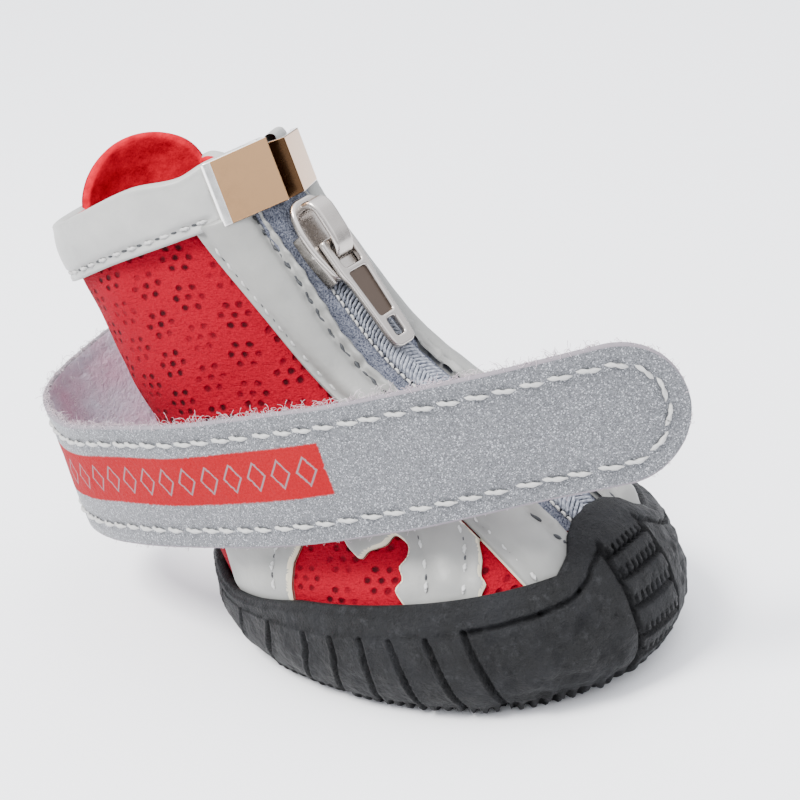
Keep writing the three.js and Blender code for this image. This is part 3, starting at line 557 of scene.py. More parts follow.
def leather_look(name, light, dark, roughness=0.42):
    m = Nodes(name, light, roughness)
    cloud = m.noise(110, 3)
    m.set("Base Color", m.mix(m.ramp(cloud, 0.3, 0.7), light, dark))
    m.set("Roughness", m.ramp(cloud, 0.3, 0.7, roughness, roughness + 0.14))
    m.bump(m.noise(260, 3), 0.0004, 0.45)
    m.bump(m.cells(1500), 0.00006, 0.35)
    return m.material


def metal_look(name, color, roughness, wobble=0.0):
    m = Nodes(name, color, roughness, 1.0)
    if wobble:
        m.bump(m.noise(160, 2), 0.0006, wobble)
    m.set("Roughness", m.ramp(m.noise(700, 3), 0.35, 0.75, roughness, roughness + 0.12))
    return m.material


def thread_look(name, color):
    m = Nodes(name, color, 0.6, 0, 0.4)
    m.bump(m.noise(2600, 2), 0.0002, 0.7)
    return m.material


def specked_look(name, speck, dark, light, roughness, specular, depth, strength):
    """Woven or moulded stuff with fine specks."""
    m = Nodes(name, light, roughness, 0, specular)
    grain = m.noise(*speck)
    m.set("Base Color", m.mix(m.ramp(grain, 0.35, 0.65), dark, light))
    m.bump(grain, depth, strength)
    return m.material


def strap_face_look():
    m = Nodes("strap_face", (0.3, 0.32, 0.35), 0.42, 0.15)
    uv = m.uv()
    tone = m.split(m.cells(7.0, uv, "Color"))[0]
    base = m.mix(m.ramp(tone, 0.1, 0.9), (0.060, 0.063, 0.070), (0.165, 0.171, 0.184))
    # the brightest cells turn pale: painted glints of the glitter
    base = m.mix(m.ramp(tone, 0.90, 0.94) * 0.8, base, (0.42, 0.43, 0.46))
    x, y = m.split(uv)
    wobble = (m.noise(1.6, 3, uv, 0.7) - 0.5) * 0.5
    s, t = x + wobble, y + wobble
    inside = m.ramp(s, PRINT_FROM, PRINT_FROM + 0.25) * m.ramp(s, PRINT_TO - 0.25, PRINT_TO, 1.0, 0.0)
    inside = inside * m.ramp(t, PRINT_LOW, PRINT_LOW + 0.25) * m.ramp(t, PRINT_HIGH - 0.25, PRINT_HIGH, 1.0, 0.0)
    # a row of plain diamonds stands in the print
    lean = abs((m.math("FRACT", s / DIAMOND_PITCH) - 0.5) * DIAMOND_PITCH)
    rise = abs(t - (PRINT_LOW + PRINT_HIGH) / 2)
    figure = m.ramp(abs(lean * 1.25 + rise - 2.1), 0.16, 0.30, 1.0, 0.0)
    red = m.mix(m.ramp(m.noise(3.0, 4, uv, 0.75), 0.35, 0.7), (0.23, 0.0, 0.004), (0.30, 0.006, 0.011))
    red = m.mix(m.ramp(m.noise(7.0, 3, uv, 0.8), 0.60, 0.70) * 0.4, red, (0.30, 0.045, 0.045))
    red = m.mix(figure * 0.85, red, (0.17, 0.155, 0.165))
    m.set("Base Color", m.mix(inside, base, red))
    plain = 1.0 - inside
    m.set("Metallic", plain * 0.25)
    m.set("Specular IOR Level", plain * 0.4 + 0.1)
    m.set("Roughness", m.ramp(inside, 0.0, 1.0, 0.42, 0.7))
    m.bump(tone, 0.00008, 0.6)
    m.bump(m.noise(1.2, 3, uv), 0.0005, 0.35)
    return m.material


def pile_look():
    m = Nodes("strap_pile", (0.40, 0.35, 0.37), 0.95, 0, 0.1)
    m.set("Base Color", m.mix(m.ramp(m.noise(90, 3), 0.4, 0.65), (0.47, 0.43, 0.51), (0.46, 0.29, 0.37)))
    m.bump(m.noise(900, 4, rough=0.75), 0.001, 0.9)
    return m.material


def plain_look(name, color, roughness, specular=0.4):
    return Nodes(name, color, roughness, 0, specular).material


RUBBER_LOOK = rubber_look()
MESH_LOOK = mesh_look()
LINING_LOOK = lining_look()
LEATHER_LOOK = leather_look("leather", (0.235, 0.235, 0.222), (0.185, 0.187, 0.178))
BAND_LOOK = leather_look("collar_leather", (0.36, 0.36, 0.346), (0.285, 0.287, 0.277), 0.36)
EDGE_LOOK = plain_look("cut_edge", (0.50, 0.455, 0.35), 0.8, 0.2)
HEM_LOOK = plain_look("strap_edge", (0.20, 0.18, 0.20), 0.9, 0.1)
CLIP_LOOK = metal_look("clip_face", (0.46, 0.268, 0.136), 0.07)
# a bright copy and a dark copy of the clip's metal: painted highlight on its rounded edge, painted shade in its fold
PAINTED_HIGHLIGHT_LOOK = metal_look("clip_painted_highlight", (0.90, 0.89, 0.86), 0.16)
PAINTED_SHADE_LOOK = metal_look("clip_painted_shade", (0.085, 0.045, 0.022), 0.2)
STEEL_LOOK = metal_look("slider_metal", (0.43, 0.40, 0.375), 0.2, 0.15)
PANEL_LOOK = metal_look("pull_panel", (0.095, 0.073, 0.06), 0.32, 0.1)
PALE_THREAD = thread_look("pale_thread", (0.42, 0.42, 0.41))
# dark thread, also used as painted shade in the gaps between pale stitches and in the facing's zip seam
DARK_THREAD_AND_PAINTED_SHADE = thread_look("dark_thread_and_painted_shade", (0.035, 0.038, 0.042))
TAPE_LOOK = specked_look(
    "zip_tape", (4200, 2), (0.030, 0.035, 0.056), (0.175, 0.187, 0.228), 0.75, 0.2, 0.0003, 0.9)
COIL_LOOK = specked_look(
    "zip_coil", (1900, 3), (0.10, 0.11, 0.14), (0.32, 0.34, 0.385), 0.35, 0.4, 0.0002, 0.5)
STRAP_LOOK = strap_face_look()
PILE_LOOK = pile_look()
FIBRE_LOOK = plain_look("fibres", (0.50, 0.42, 0.455), 0.6)


def piece(obj, replaces=(), body="boot"):
    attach(obj, body)
    if replaces:
        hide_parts(*replaces)
    return obj


# Outsole


def line_distance(around, at, scale_a, scale_w, ends):
    """Distance in millimetres on the sole's side to a straight line between two places."""
    (a0, w0), (a1, w1) = ends
    px, py = (around - a0) * scale_a, (at - w0) * scale_w
    dx, dy = (a1 - a0) * scale_a, (w1 - w0) * scale_w
    t = np.clip((px * dx + py * dy) / (dx * dx + dy * dy), 0, 1)
    return np.hypot(px - t * dx, py - t * dy)


def rubber_relief(points, around, at, scale_a, scale_w):
    """Slots, grooves, ribs, teeth and grain of the sole's side."""
    turn = np.abs(around)
    push = 0.16 * noise(points, 2.6, 1) + 0.10 * noise(points, 1.1, 2)
    push *= smooth(at, 0.99, 0.9) * 0.8 + 0.2
    push += 0.28 * smooth(at, 0.655, 0.62) * smooth(turn, 0.28, 0.30)
    for place, top, slant in SLOTS:
        depth = 1.1 - 0.5 * smooth(place, 0.56, 0.7)
        shift = slant * smooth(at, 0.62, 0.0) * 2.2 - slant * 0.6
        far = np.hypot((turn - place - shift) * scale_a, np.maximum(0, at - top) * scale_w)
        push -= depth * smooth(far, 0.52, 0.16)
        push += 0.16 * smooth(far, 1.3, 0.6) * smooth(far, 0.35, 0.7)
    for ends in zip(BLOCK_TOP, BLOCK_TOP[1:]):
        push -= 0.75 * smooth(line_distance(turn, at, scale_a, scale_w, ends), 0.5, 0.15)
    for ends in (((STRIP_HALF + 0.02, 0.0), (STRIP_HALF, 0.3)), ((STRIP_HALF, 0.3), (STRIP_HALF, 0.86))):
        push -= 1.0 * smooth(line_distance(turn, at, scale_a, scale_w, ends), 0.6, 0.2)
    strip = smooth(turn * scale_a, STRIP_HALF * 98, STRIP_HALF * 98 - 1.2) * smooth(at, 0.88, 0.84)
    comb = smooth(np.abs((around * scale_a / 1.2) % 1 - 0.5), 0.24, 0.12)
    push += strip * 0.25
    for hollow in RIB_HOLLOWS:
        far = (at - hollow) * scale_w
        push -= strip * 0.95 * smooth(np.abs(far), 0.42, 0.2)
        push -= strip * 0.80 * smooth(far, 1.45, 1.25) * (far > 0) * comb * (turn * scale_a < STRIP_HALF * 82)
    # serrated tread edge
    length = np.cumsum(np.linalg.norm(np.diff(points[0], axis=0, append=points[0][:1]), axis=1))[None]
    wander = noise(points[:1] * (1, 1, 0), 5.0, 6)
    teeth = np.clip(np.sin(length / 1.75 * 2 * np.pi + 1.6 * wander) * 1.6, -1, 1)
    push += (0.42 + 0.16 * wander) * teeth * smooth(at, 0.17, 0.10) * smooth(at, -0.01, 0.02)
    # rough leathery block on the side of the toe
    block = smooth(turn, 0.075, 0.10) * smooth(turn, 0.285, 0.27) * smooth(at, 0.70, 0.6)
    return push + block * (0.50 * noise(points, 2.6, 4) + 0.34 * noise(points, 1.3, 5))


def build_outsole():
    columns = 900
    a = np.linspace(-1, 1, columns, endpoint=False)[None]
    w = np.concatenate([np.linspace(0, 0.14, 9)[:-1], np.linspace(0.14, 1, 56)])[:, None]
    around, at = np.broadcast_arrays(a, w)
    points = rubber_point(around, at)
    out = facing_out(rubber_point, around, at, 0.004)
    scale_a = np.linalg.norm(rubber_point(around + 0.002, at) - rubber_point(around - 0.002, at), axis=-1) / 0.004
    scale_w = np.linalg.norm(rubber_point(around, at + 0.004) - rubber_point(around, at - 0.004), axis=-1) / 0.008
    points = points + out * rubber_relief(points, around, at, scale_a, scale_w)[..., None]
    points[..., 2] = np.maximum(points[..., 2], 0)

    # tread underneath, from its flat middle to its edge
    under = []
    for share in np.linspace(0.04, 1, 26)[:-1]:
        ring = rim_point(a[0], 0) * (share, share, 0)
        ring[:, 2] = tread_at(ring[:, 0]) * smooth(share, 0.5, 1) ** 0.5
        slot = np.abs((ring[:, 0] / TREAD_PITCH + 0.5) % 1 - 0.5) * TREAD_PITCH
        ring[:, 2] += 1.3 * smooth(np.abs(slot - TREAD_PITCH / 2), 1.1, 0.7)
        under.append(ring)
    # over the rand's lip and down its inside
    rise = rand_at(a[0])
    top = []
    for angle in np.linspace(0, math.pi, 7)[1:]:
        offset = (LIP + 0.25) / 2 + (LIP - 0.25) / 2 * math.cos(angle)
        top.append(skin(a[0], rise + 0.0075 * math.sin(angle), np.full(columns, offset)))
    inner = [skin(a[0], rise * share, np.full(columns, 0.02)) for share in (0.8, 0.55, 0.3, 0.1, 0.0)]
    inner.append(skin(a[0], 0.0, np.full(columns, 0.1)) * (0.5, 0.5, 1) - (0, 0, 0.3))
    rows = np.concatenate([np.array(under), points, np.array(top), np.array(inner)])
    verts = np.concatenate([rows.reshape(-1, 3), rows[0].mean(0)[None], rows[-1].mean(0)[None]])
    count = rows.size // 3
    first = [[(k + 1) % columns, count, k] for k in range(columns)]
    last = [[count - columns + k, count - columns + (k + 1) % columns, count + 1] for k in range(columns)]
    faces = grid_faces(len(rows), columns, True).tolist() + first + last
    piece(mesh_object("outsole_look", verts, faces, RUBBER_LOOK), ["outsole"])


# Upper


def upper_top(around):
    """Height of the upper's top edge with the back tab."""
    x = (turn_of(around) - TAB_MIDDLE) / TAB_HALF
    x = np.where(x < -5, x + 2 / TAB_HALF, x)
    rise = TAB_RISE * np.power(np.clip(1 - x * x, 0, 1), 0.55)
    return collar_top(around) - 0.006 + rise


def cloth_push(points, height):
    folds = 0.34 * noise(points, 9.0, 11) + 0.16 * noise(points, 4.0, 12)
    crease = np.exp(-((points[..., 2] - 0.30 * points[..., 0] - 46.0) / 2.2) ** 2) * 0.35
    return folds * smooth(height, 0.27, 0.4) - crease * smooth(points[..., 0], -22, -40)


def cloth_plan(outside, around):
    """The cloth's plan in millimetres, laid out from the middle of each side."""
    rows, columns = outside.shape[:2]
    steps = np.diff(outside, axis=1, prepend=outside[:, :1])
    run = np.cumsum(np.linalg.norm(steps, axis=-1), axis=1)
    plan = np.zeros((rows, columns, 2))
    for part, middle in ((slice(0, columns // 2), 0.45), (slice(columns // 2, columns), 1.55)):
        k = int(np.abs(around[60] - middle).argmin())
        climb = np.diff(outside[:, k], axis=0, prepend=outside[:1, k])
        drift = (climb * unit(outside[:, k + 1] - outside[:, k - 1])).sum(-1)
        rise = np.sqrt(np.maximum(0, (climb * climb).sum(-1) - drift**2))
        plan[:, part, 0] = (run - run[:, k:k + 1] + np.cumsum(drift)[:, None])[:, part]
        plan[:, part, 1] = np.cumsum(rise)[:, None]
    return plan


def build_upper():
    columns, rows = 420, 120
    s = np.linspace(0, 1, columns)[None]
    t = np.linspace(0, 1, rows)[:, None]
    around = np.broadcast_to(s * 2, (rows, columns)).copy()
    for _ in range(5):
        height = t * upper_top(around)
        edge = around_at(ZIP_GAP + 0.8, np.clip(height, 0, 1.05)) * smooth(height, 0.24, 0.27)
        around = edge + (2 - 2 * edge) * s
    outside = skin(around, height, np.zeros_like(height))
    uvs = cloth_plan(outside, around)
    outside = skin(around, height, cloth_push(outside, height) * smooth(height, 1.1, 0.9))
    lips = []
    for angle in np.linspace(0, math.pi, 7)[1:-1]:
        offset = -WALL / 2 + WALL / 2 * math.cos(angle)
        lips.append(skin(around[-1], height[-1] + 0.012 * math.sin(angle), np.full(columns, offset)))
    inside = skin(around, height, -WALL + 0.12 * noise(outside, 3.0, 13))[::-2]
    points = np.concatenate([outside, np.array(lips), inside])
    uvs = np.concatenate([uvs, np.repeat(uvs[-1:], len(lips), 0), uvs[::-2]])
    slots = np.repeat((np.arange(len(points) - 1) >= rows + 1).astype(int), columns - 1)
    obj = mesh_object("upper_look", points.reshape(-1, 3), grid_faces(len(points), columns), [MESH_LOOK, LINING_LOOK],
                      uvs.reshape(-1, 2), slots)
    piece(obj, ["upper"])


# Leather pieces on the upper; their plan is the place round the boot and the height


def closed_curve(places):
    p = np.array(places, float)
    slope = 0.35 * (np.roll(p, -1, 0) - np.roll(p, 1, 0))
    t = np.linspace(0, 1, 8, endpoint=False)[None, :, None]
    after, next_slope = np.roll(p, -1, 0), np.roll(slope, -1, 0)
    return hermite(t, p[:, None], slope[:, None], after[:, None], next_slope[:, None]).reshape(-1, 2)


def even_loop(loop, spacing):
    """The loop in millimetres of the plan, with points at even distances."""
    closed = np.vstack([loop, loop[:1]])
    length = run_of(closed * DOMAIN)
    places = np.linspace(0, length[-1], max(8, int(length[-1] / spacing)), endpoint=False)
    return read_at(places, length, closed) * DOMAIN


def inside_loops(points, loops):
    """Even-odd test."""
    inside = np.zeros(len(points), bool)
    x, y = points[:, 0], points[:, 1]
    for loop in loops:
        for (ax, ay), (bx, by) in zip(loop, np.roll(loop, -1, 0)):
            if ay != by:
                inside ^= ((ay > y) != (by > y)) & (x < (bx - ax) * (y - ay) / (by - ay) + ax)
    return inside


def nearest(points, others):
    """Distance from each point to the nearest of the others."""
    blocks = [others[k:k + 400] for k in range(0, len(others), 400)]
    return np.min([np.linalg.norm(points[:, None] - block[None], axis=-1).min(1) for block in blocks], axis=0)


def sheet_points(loops, edge):
    """Points inside closed outlines: rings along the edge, then a triangular grid."""
    points = []
    for loop in loops:
        tangent = np.roll(loop, -1, 0) - np.roll(loop, 1, 0)
        normal = unit(pairs(-tangent[:, 1], tangent[:, 0]))
        if inside_loops(loop + normal * 0.15, loops).mean() < 0.5:
            normal = -normal
        for distance in (0.14, 0.32, 0.55):
            ring = loop + normal * distance
            points.append(ring[nearest(ring, edge) > distance * 0.93])
    cell = 0.8
    low, high = edge.min(0), edge.max(0)
    x, y = np.meshgrid(np.arange(low[0], high[0], cell), np.arange(low[1], high[1], cell * 0.87))
    x = x + (np.arange(x.shape[0]) % 2)[:, None] * cell / 2
    inner = pairs(x.ravel(), y.ravel())
    inner = inner[inside_loops(inner, loops)]
    return [*points, inner[nearest(inner, edge) > 0.85]]


def applique(name, loops, side, material, seams, crown, pucker=0.10):
    """A sheet with rounded edges cut to closed outlines; the loops after the first are windows."""
    loops = [even_loop(loop, 0.42) for loop in loops]
    edge = np.concatenate(loops)
    borders = []
    for loop in loops:
        ends = np.arange(len(loop)) + len(borders)
        borders += zip(ends.tolist(), np.roll(ends, -1).tolist())
    points = np.concatenate([edge, *sheet_points(loops, edge)])
    made = geometry.delaunay_2d_cdt([Vector(p) for p in points], borders, [], 0, 1e-5)
    plan, origin = np.array([tuple(v) for v in made[0]]), made[3]
    triangles = np.array(made[2])
    triangles = triangles[inside_loops(plan[triangles].mean(1), loops)]
    far = nearest(plan, edge)
    far[np.array([any(o < len(edge) for o in group) for group in origin])] = 0
    around, height = plan[:, 0] / DOMAIN[0] * side, plan[:, 1] / DOMAIN[1]
    place = skin(around, height, np.full(len(plan), LEATHER))
    rise = LEATHER * (0.35 + 0.65 * np.sqrt(1 - (1 - np.clip(far / 0.6, 0, 1)) ** 2))
    inward = smooth(far, 0.2, 1.2)
    rise += inward * (pucker * noise(place, 2.4, 21) + 0.7 * pucker * noise(place, 5.0, 22))
    rise += crown(around * side, height, far)
    for seam in seams:
        sunk = nearest(place, seam_line(seam, side, LEATHER)[0][::2])
        rise -= 0.42 * np.exp(-((sunk / 0.62) ** 2)) * inward
    tuck = smooth((height - rand_at(around)) * DOMAIN[1], 0.0, 2.6)
    rise = rise * tuck + np.minimum(rise, 0.75) * (1 - tuck)
    top = skin(around, height, rise)
    triangles = triangles if side > 0 else triangles[:, ::-1]
    # the cut edge goes down into the cloth
    two = isinstance(material, list)
    faces = triangles.tolist()
    slots = [int(cut and two) for cut in far[triangles].mean(1) < 0.26] + [int(two)] * len(borders)
    index_of = {o: n for n, group in enumerate(origin) for o in group}
    under = {}
    for a, b in borders:
        a, b = index_of[a], index_of[b]
        low_a, low_b = (under.setdefault(v, len(top) + len(under)) for v in (a, b))
        faces.append([a, b, low_b, low_a] if side < 0 else [b, a, low_a, low_b])
    low = list(under)
    verts = np.concatenate([top, skin(around[low], height[low], np.full(len(low), -0.5))])
    uvs = np.concatenate([plan, np.zeros((len(low), 2))])
    return mesh_object(name, verts, faces, material, uvs, slots)


def seam_line(seam, side, offset):
    """A seam's points and outward directions, from its corners on the plan."""
    p = np.array(seam, float)
    length = run_of(p * DOMAIN)
    places = np.linspace(0, length[-1], max(12, int(length[-1] / 0.35)))
    around, height = averaged(read_at(places, length, p), 9).T
    around = around * side
    return skin(around, height, np.full(len(around), float(offset))), out_of(around, height)


def facing_front(height):
    return around_at(ZIP_GAP - 1.1 * smooth(height, 0.6, 0.84), height) + 0.001


def facing_rear(height):
    return curve(FACING_REAR, 1, height)


def build_facing(side, name):
    front = np.linspace(0.2, 0.872, 170)
    wave = 0.0026 * np.sin(front * 205) + 0.0022 * np.sin(front * 91 + 1)
    rear = np.linspace(0.17, 0.872, 60)
    loop = np.concatenate([
        pairs(facing_front(front) + wave * smooth(front, 0.3, 0.45), front), pairs(facing_rear(rear), rear)[::-1],
    ])
    seam = np.linspace(0.24, 0.86, 40)
    zip_seam = pairs(facing_front(seam) + STRIP_WIDE - 0.006 * smooth(seam, 0.4, 0.25), seam)
    seam = np.linspace(0.205, 0.86, 40)
    rear_seam = pairs(facing_rear(seam) - REAR_SEAM, seam)

    def crown(around, height, far):
        front_edge = facing_front(height) + STRIP_WIDE
        t = np.clip((around - front_edge) / (facing_rear(height) - REAR_SEAM - front_edge), 0, 1)
        near = (front_edge - around) / STRIP_WIDE
        bead = 0.45 * np.sin(np.pi * np.clip(near, 0, 1)) ** 0.7
        wrinkle = 0.26 * np.sin(height * 205 + 2) + 0.16 * np.sin(height * 331)
        beside = np.exp(-((near + 0.1) / 0.45) ** 2)
        puff = 2.45 * t**0.75 * (1 - t) ** 0.45
        return puff + bead + wrinkle * np.maximum(beside, near > 0) * smooth(far, 0.1, 0.6)

    obj = applique(f"facing_{name}", [loop], side, LEATHER_LOOK, [zip_seam, zip_seam, rear_seam], crown, 0.07)
    piece(obj, [f"zip_facing_{name}"])
    # a dark wavy line along the zip seam: partly the dark thread, partly painted shade in the seam's groove
    points, out = seam_line(zip_seam, side, 0.66)
    beat = np.arange(len(points)) * 0.93
    wavy = points + np.cross(unit(np.gradient(points, axis=0)), out) * (0.2 * np.sin(beat))[:, None]
    verts, faces = tubes(wavy[None], 0.27 + 0.09 * np.sin(beat * 2 + 1)[None], 6)
    piece(mesh_object(f"seam_line_{name}", verts, faces, DARK_THREAD_AND_PAINTED_SHADE))
    return [rear_seam]


def behind_rand(window):
    """A window's outline, stopped at a height that the rand hides."""
    w = closed_curve(window)
    w[:, 1] = np.maximum(w[:, 1], rand_at(w[:, 0]) - 0.009)
    step = np.linalg.norm(np.diff(w, axis=0, prepend=w[:1] - 1) * DOMAIN, axis=1)
    return w[step >= 0.05]


def build_overlay(side, name):
    top, rear = np.linspace(0.222, 0.655, 60), np.linspace(0.36, 0.15, 24)
    low, front = np.linspace(0.69, 0.19, 40), np.linspace(0.19, 0.43, 30)
    loop = np.concatenate([
        pairs(top, curve(OVERLAY_TOP, 1, top)), pairs(curve(OVERLAY_REAR, 1, rear), rear)[1:],
        pairs(low, rand_at(low) - 0.012)[1:], pairs(facing_rear(front) + 0.003, front)[1:-1],
    ])

    def crown(around, height, far):
        a0 = np.interp(height, [0.19, 0.255, 0.295, 0.34], [0.292, 0.260, 0.236, 0.226])
        a1 = np.interp(height, [0.19, 0.258, 0.30, 0.40], [0.342, 0.316, 0.300, 0.285])
        t = np.clip((around - a0) / (a1 - a0), 0, 1)
        return 0.85 * np.sin(np.pi * t) ** 0.8 * smooth(height, 0.38, 0.32)

    loops = [loop, behind_rand(SIDE_WINDOW), behind_rand(TOE_WINDOW)]
    obj = applique(f"overlay_{name}", loops, side, [LEATHER_LOOK, EDGE_LOOK], OVERLAY_SEAMS, crown)
    piece(obj, [f"side_overlay_{name}"])
    return OVERLAY_SEAMS


def build_band():
    """The collar's band, folded over the top; gives its seam."""
    end = float(around_at(1.55, 0.93))
    columns = 460
    around = end + (2 - 2 * end) * np.linspace(0, 1, columns)
    turn = np.abs(turn_of(around))
    low = curve(COLLAR_LOW, 1, turn)
    top = collar_top(around) + 0.004
    thick = BAND * (0.62 + 0.38 * smooth(turn, REACH, REACH + 0.012))
    rows = []
    for angle in np.linspace(0, math.pi / 2, 6):  # lower edge
        rows.append((low + 0.010 * (1 - math.sin(angle)), thick * (0.05 + 0.75 * math.sin(angle))))
    for t in np.linspace(0.06, 0.93, 26):
        rows.append((low + (top - low) * t, thick * (0.80 + 0.20 * math.sin(math.pi * min(1, t * 1.1)))))
    for angle in np.linspace(0.15, math.pi, 9):  # over the top
        middle, reach = (thick * 0.82 - 1.0) / 2, (thick * 0.82 + 1.0) / 2
        rows.append((top + 0.012 * math.sin(angle) - 0.005, middle + reach * math.cos(angle)))
    rows.append((top - 0.03, np.full(columns, -1.1)))
    height, offset = np.array(rows).transpose(1, 0, 2)
    a = np.broadcast_to(around, height.shape)
    place = skin(a, height, offset)
    share = (height - low) / (top - low)
    free = smooth(turn, REACH + 0.01, REACH + 0.05)
    pucker = 0.14 * noise(place, 2.2, 31) * np.exp(-((share - 0.05) / 0.22) ** 2) + 0.16 * noise(place, 5.5, 32)
    groove = np.exp(-(((height - low) * 68 - 1.5) / 0.55) ** 2) * 0.45
    place = skin(a, height, offset + (pucker * free - groove * free) * smooth(offset, 0.2, 0.9))
    obj = mesh_object("band_look", place.reshape(-1, 3), grid_faces(len(rows), columns), BAND_LOOK)
    piece(obj, ["collar_band"])
    seam, keep = low + 1.5 / 68, turn > REACH + 0.012
    return skin(around, seam, np.full(columns, BAND * 0.82 - 0.28))[keep], out_of(around, seam)[keep]


def stitch_leather(seams, band):
    pale, dark = [], []
    for side, group in seams:
        for seam in group:
            line = seam_line(seam, side, LEATHER - 0.32)
            pale.append(stitch_run(*line, 2.9, 0.52, 0.22, 0.34))
            # short dark stitches in the gaps between the pale ones: painted shade of the stitch holes and groove
            dark.append(stitch_run(*line, 2.9, 0.34, 0.16, 0.16, start=1.75))
    pale.append(stitch_run(*band, 3.1, 0.56, 0.24, 0.42))
    # the band's seam gets the same painted shade between its pale stitches
    dark.append(stitch_run(*band, 3.1, 0.32, 0.17, 0.16, start=1.95))
    piece(thread("pale_stitches", pale, 0.25, PALE_THREAD, 0.2))
    piece(thread("painted_shade_stitches", dark, 0.17, DARK_THREAD_AND_PAINTED_SHADE))


# Metal


def plate(name, outlines, depth, bevel, matrix, material, start, replaces=(), body="boot"):
    """A flat plate with holes and rounded edges; matrix places its drawing plane, in millimetres."""
    data = bpy.data.curves.new(name, "CURVE")
    data.dimensions = "2D"
    data.fill_mode = "BOTH"
    data.extrude = (depth / 2 - bevel) * MM
    data.bevel_depth = bevel * MM
    data.bevel_resolution = 3
    data.offset = -bevel * MM
    for outline in outlines:
        spline = data.splines.new("POLY")
        spline.points.add(len(outline) - 1)
        for point, (x, y) in zip(spline.points, outline):
            point.co = (x * MM, y * MM, 0, 1)
        spline.use_cyclic_u = True
    drawn = linked(name + "_drawn", data)
    mesh = bpy.data.meshes.new_from_object(drawn.evaluated_get(bpy.context.evaluated_depsgraph_get()))
    bpy.data.objects.remove(drawn)
    mesh.transform(matrix @ Matrix.Translation((0, 0, (start + depth / 2) * MM)))
    mesh.materials.clear()
    mesh.materials.append(material)
    mesh.polygons.foreach_set("use_smooth", np.ones(len(mesh.polygons), bool))
    obj = linked(name, mesh)
    obj.modifiers.new("weights", "WEIGHTED_NORMAL").keep_sharp = False
    piece(obj, replaces, body)


def mirrored(half):
    """An outline from its half below the middle line."""
    return [*half, *((x, -y) for x, y in half[::-1])]


def rounded(points, radius, steps=5):
    """The outline with its corners rounded."""
    p = [np.array(q, float) for q in points]
    out = []
    for k, corner in enumerate(p):
        a, b = p[k - 1] - corner, p[(k + 1) % len(p)] - corner
        r = min(radius, np.linalg.norm(a) * 0.45, np.linalg.norm(b) * 0.45)
        start, end = corner + a / np.linalg.norm(a) * r, corner + b / np.linalg.norm(b) * r
        for t in np.linspace(0, 1, steps):
            out.append(tuple((1 - t) ** 2 * start + 2 * t * (1 - t) * corner + t * t * end))
    return out


def basis(along, across, out, origin):
    m = Matrix((Vector(along), Vector(across), Vector(out))).transposed().to_4x4()
    m.translation = Vector(origin) * MM
    return m


def slider_frame():
    low, high = (skin(0.0, height, TEETH_RISE + GAP) for height in (0.69, 0.842))
    along = unit(low - high)
    across = np.array([0.0, 1.0, 0.0])
    return (low + high) / 2, along, across, np.cross(along, across), float(np.linalg.norm(low - high))


def build_slider():
    origin, along, across, out, length = slider_frame()
    end, half = length / 2, 4.3
    outline = mirrored([
        (-end, -0.45 * half), (-0.8 * end, -0.8 * half), (-0.35 * end, -half), (0.25 * end, -half),
        (end, -0.74 * half),
    ])
    base = basis(along, across, out, origin)
    plate("slider_plate", [rounded(outline, 1.6, 7)], 1.25, 0.45, base, STEEL_LOOK, 0.0, ["zip_slider"])
    wall = 3.1
    for side in (-1, 1):
        flange = [
            (-0.3 * end, side * wall), (-0.3 * end, side * half * 0.99), (0.25 * end, side * half * 0.99),
            (end * 0.98, side * (wall + 0.5)), (end * 0.98, side * wall),
        ]
        plate(f"slider_flange_{side + 1}", [rounded(flange, 0.3)], 2.1, 0.2, base, STEEL_LOOK, -1.5)
    top, bar = 4.3, 1.15
    rear, front = -0.86 * end, 4.1
    bridge = [
        (rear, 0.3), (rear - 0.05, top * 0.5), (rear + 0.5, top * 0.86), (rear + 1.9, top), (rear + 3.4, top),
        (front - 3.2, top * 0.95), (front - 1.4, top * 0.8), (front - 0.2, top * 0.5), (front, 0.3),
    ]
    inner = [
        (rear + bar, 1.0), (rear + bar + 0.1, top * 0.55), (rear + 2.0, top - bar), (front - 3.5, top * 0.96 - bar),
        (front - bar * 1.5, top * 0.54), (front - bar, 1.0),
    ]
    upright = basis(along, out, -across, origin)
    plate("slider_bridge", [rounded(bridge, 1.5, 7), rounded(inner, 0.9, 6)], 3.7, 0.55, upright, STEEL_LOOK, -1.85)


def build_pull():
    origin, along, across, out, _ = slider_frame()
    axis = origin + along * 1.0 + out * 1.95
    way = unit(skin(0.0, 0.56, TEETH_RISE + 2 * GAP + 0.55) - axis)
    length, half, thick, bar, eye, rail = 18.5, 3.2, 1.1, 0.55, 4.5, 2.0
    outline = mirrored([
        (-bar, -half), (eye + 1, -half), (eye + 3, -half * 0.86), (length - 2, -half * 0.76),
        (length - 0.6, -half * 0.7), (length, -half * 0.42),
    ])
    hole = mirrored([(bar, -rail), (eye, -rail)])
    slot = mirrored([(length - 4.6, -0.95), (length - 1.7, -0.95)])
    panel = mirrored([(eye + 0.9, -1.9), (length - 5.4, -1.5)])
    fill = mirrored([(eye + 0.6, -2.1), (length - 5.1, -1.7)])
    base = basis(way, across, np.cross(way, across), axis)
    frame_lines = [rounded(outline, 0.8), rounded(hole, 0.6), rounded(slot, 0.5), rounded(panel, 0.5)]
    plate("pull_frame", frame_lines, thick, 0.32, base, STEEL_LOOK, -thick / 2, ["zip_pull"], "pull")
    plate("pull_panel_fill", [rounded(fill, 0.3)], 0.5, 0.05, base, PANEL_LOOK, -0.42, body="pull")


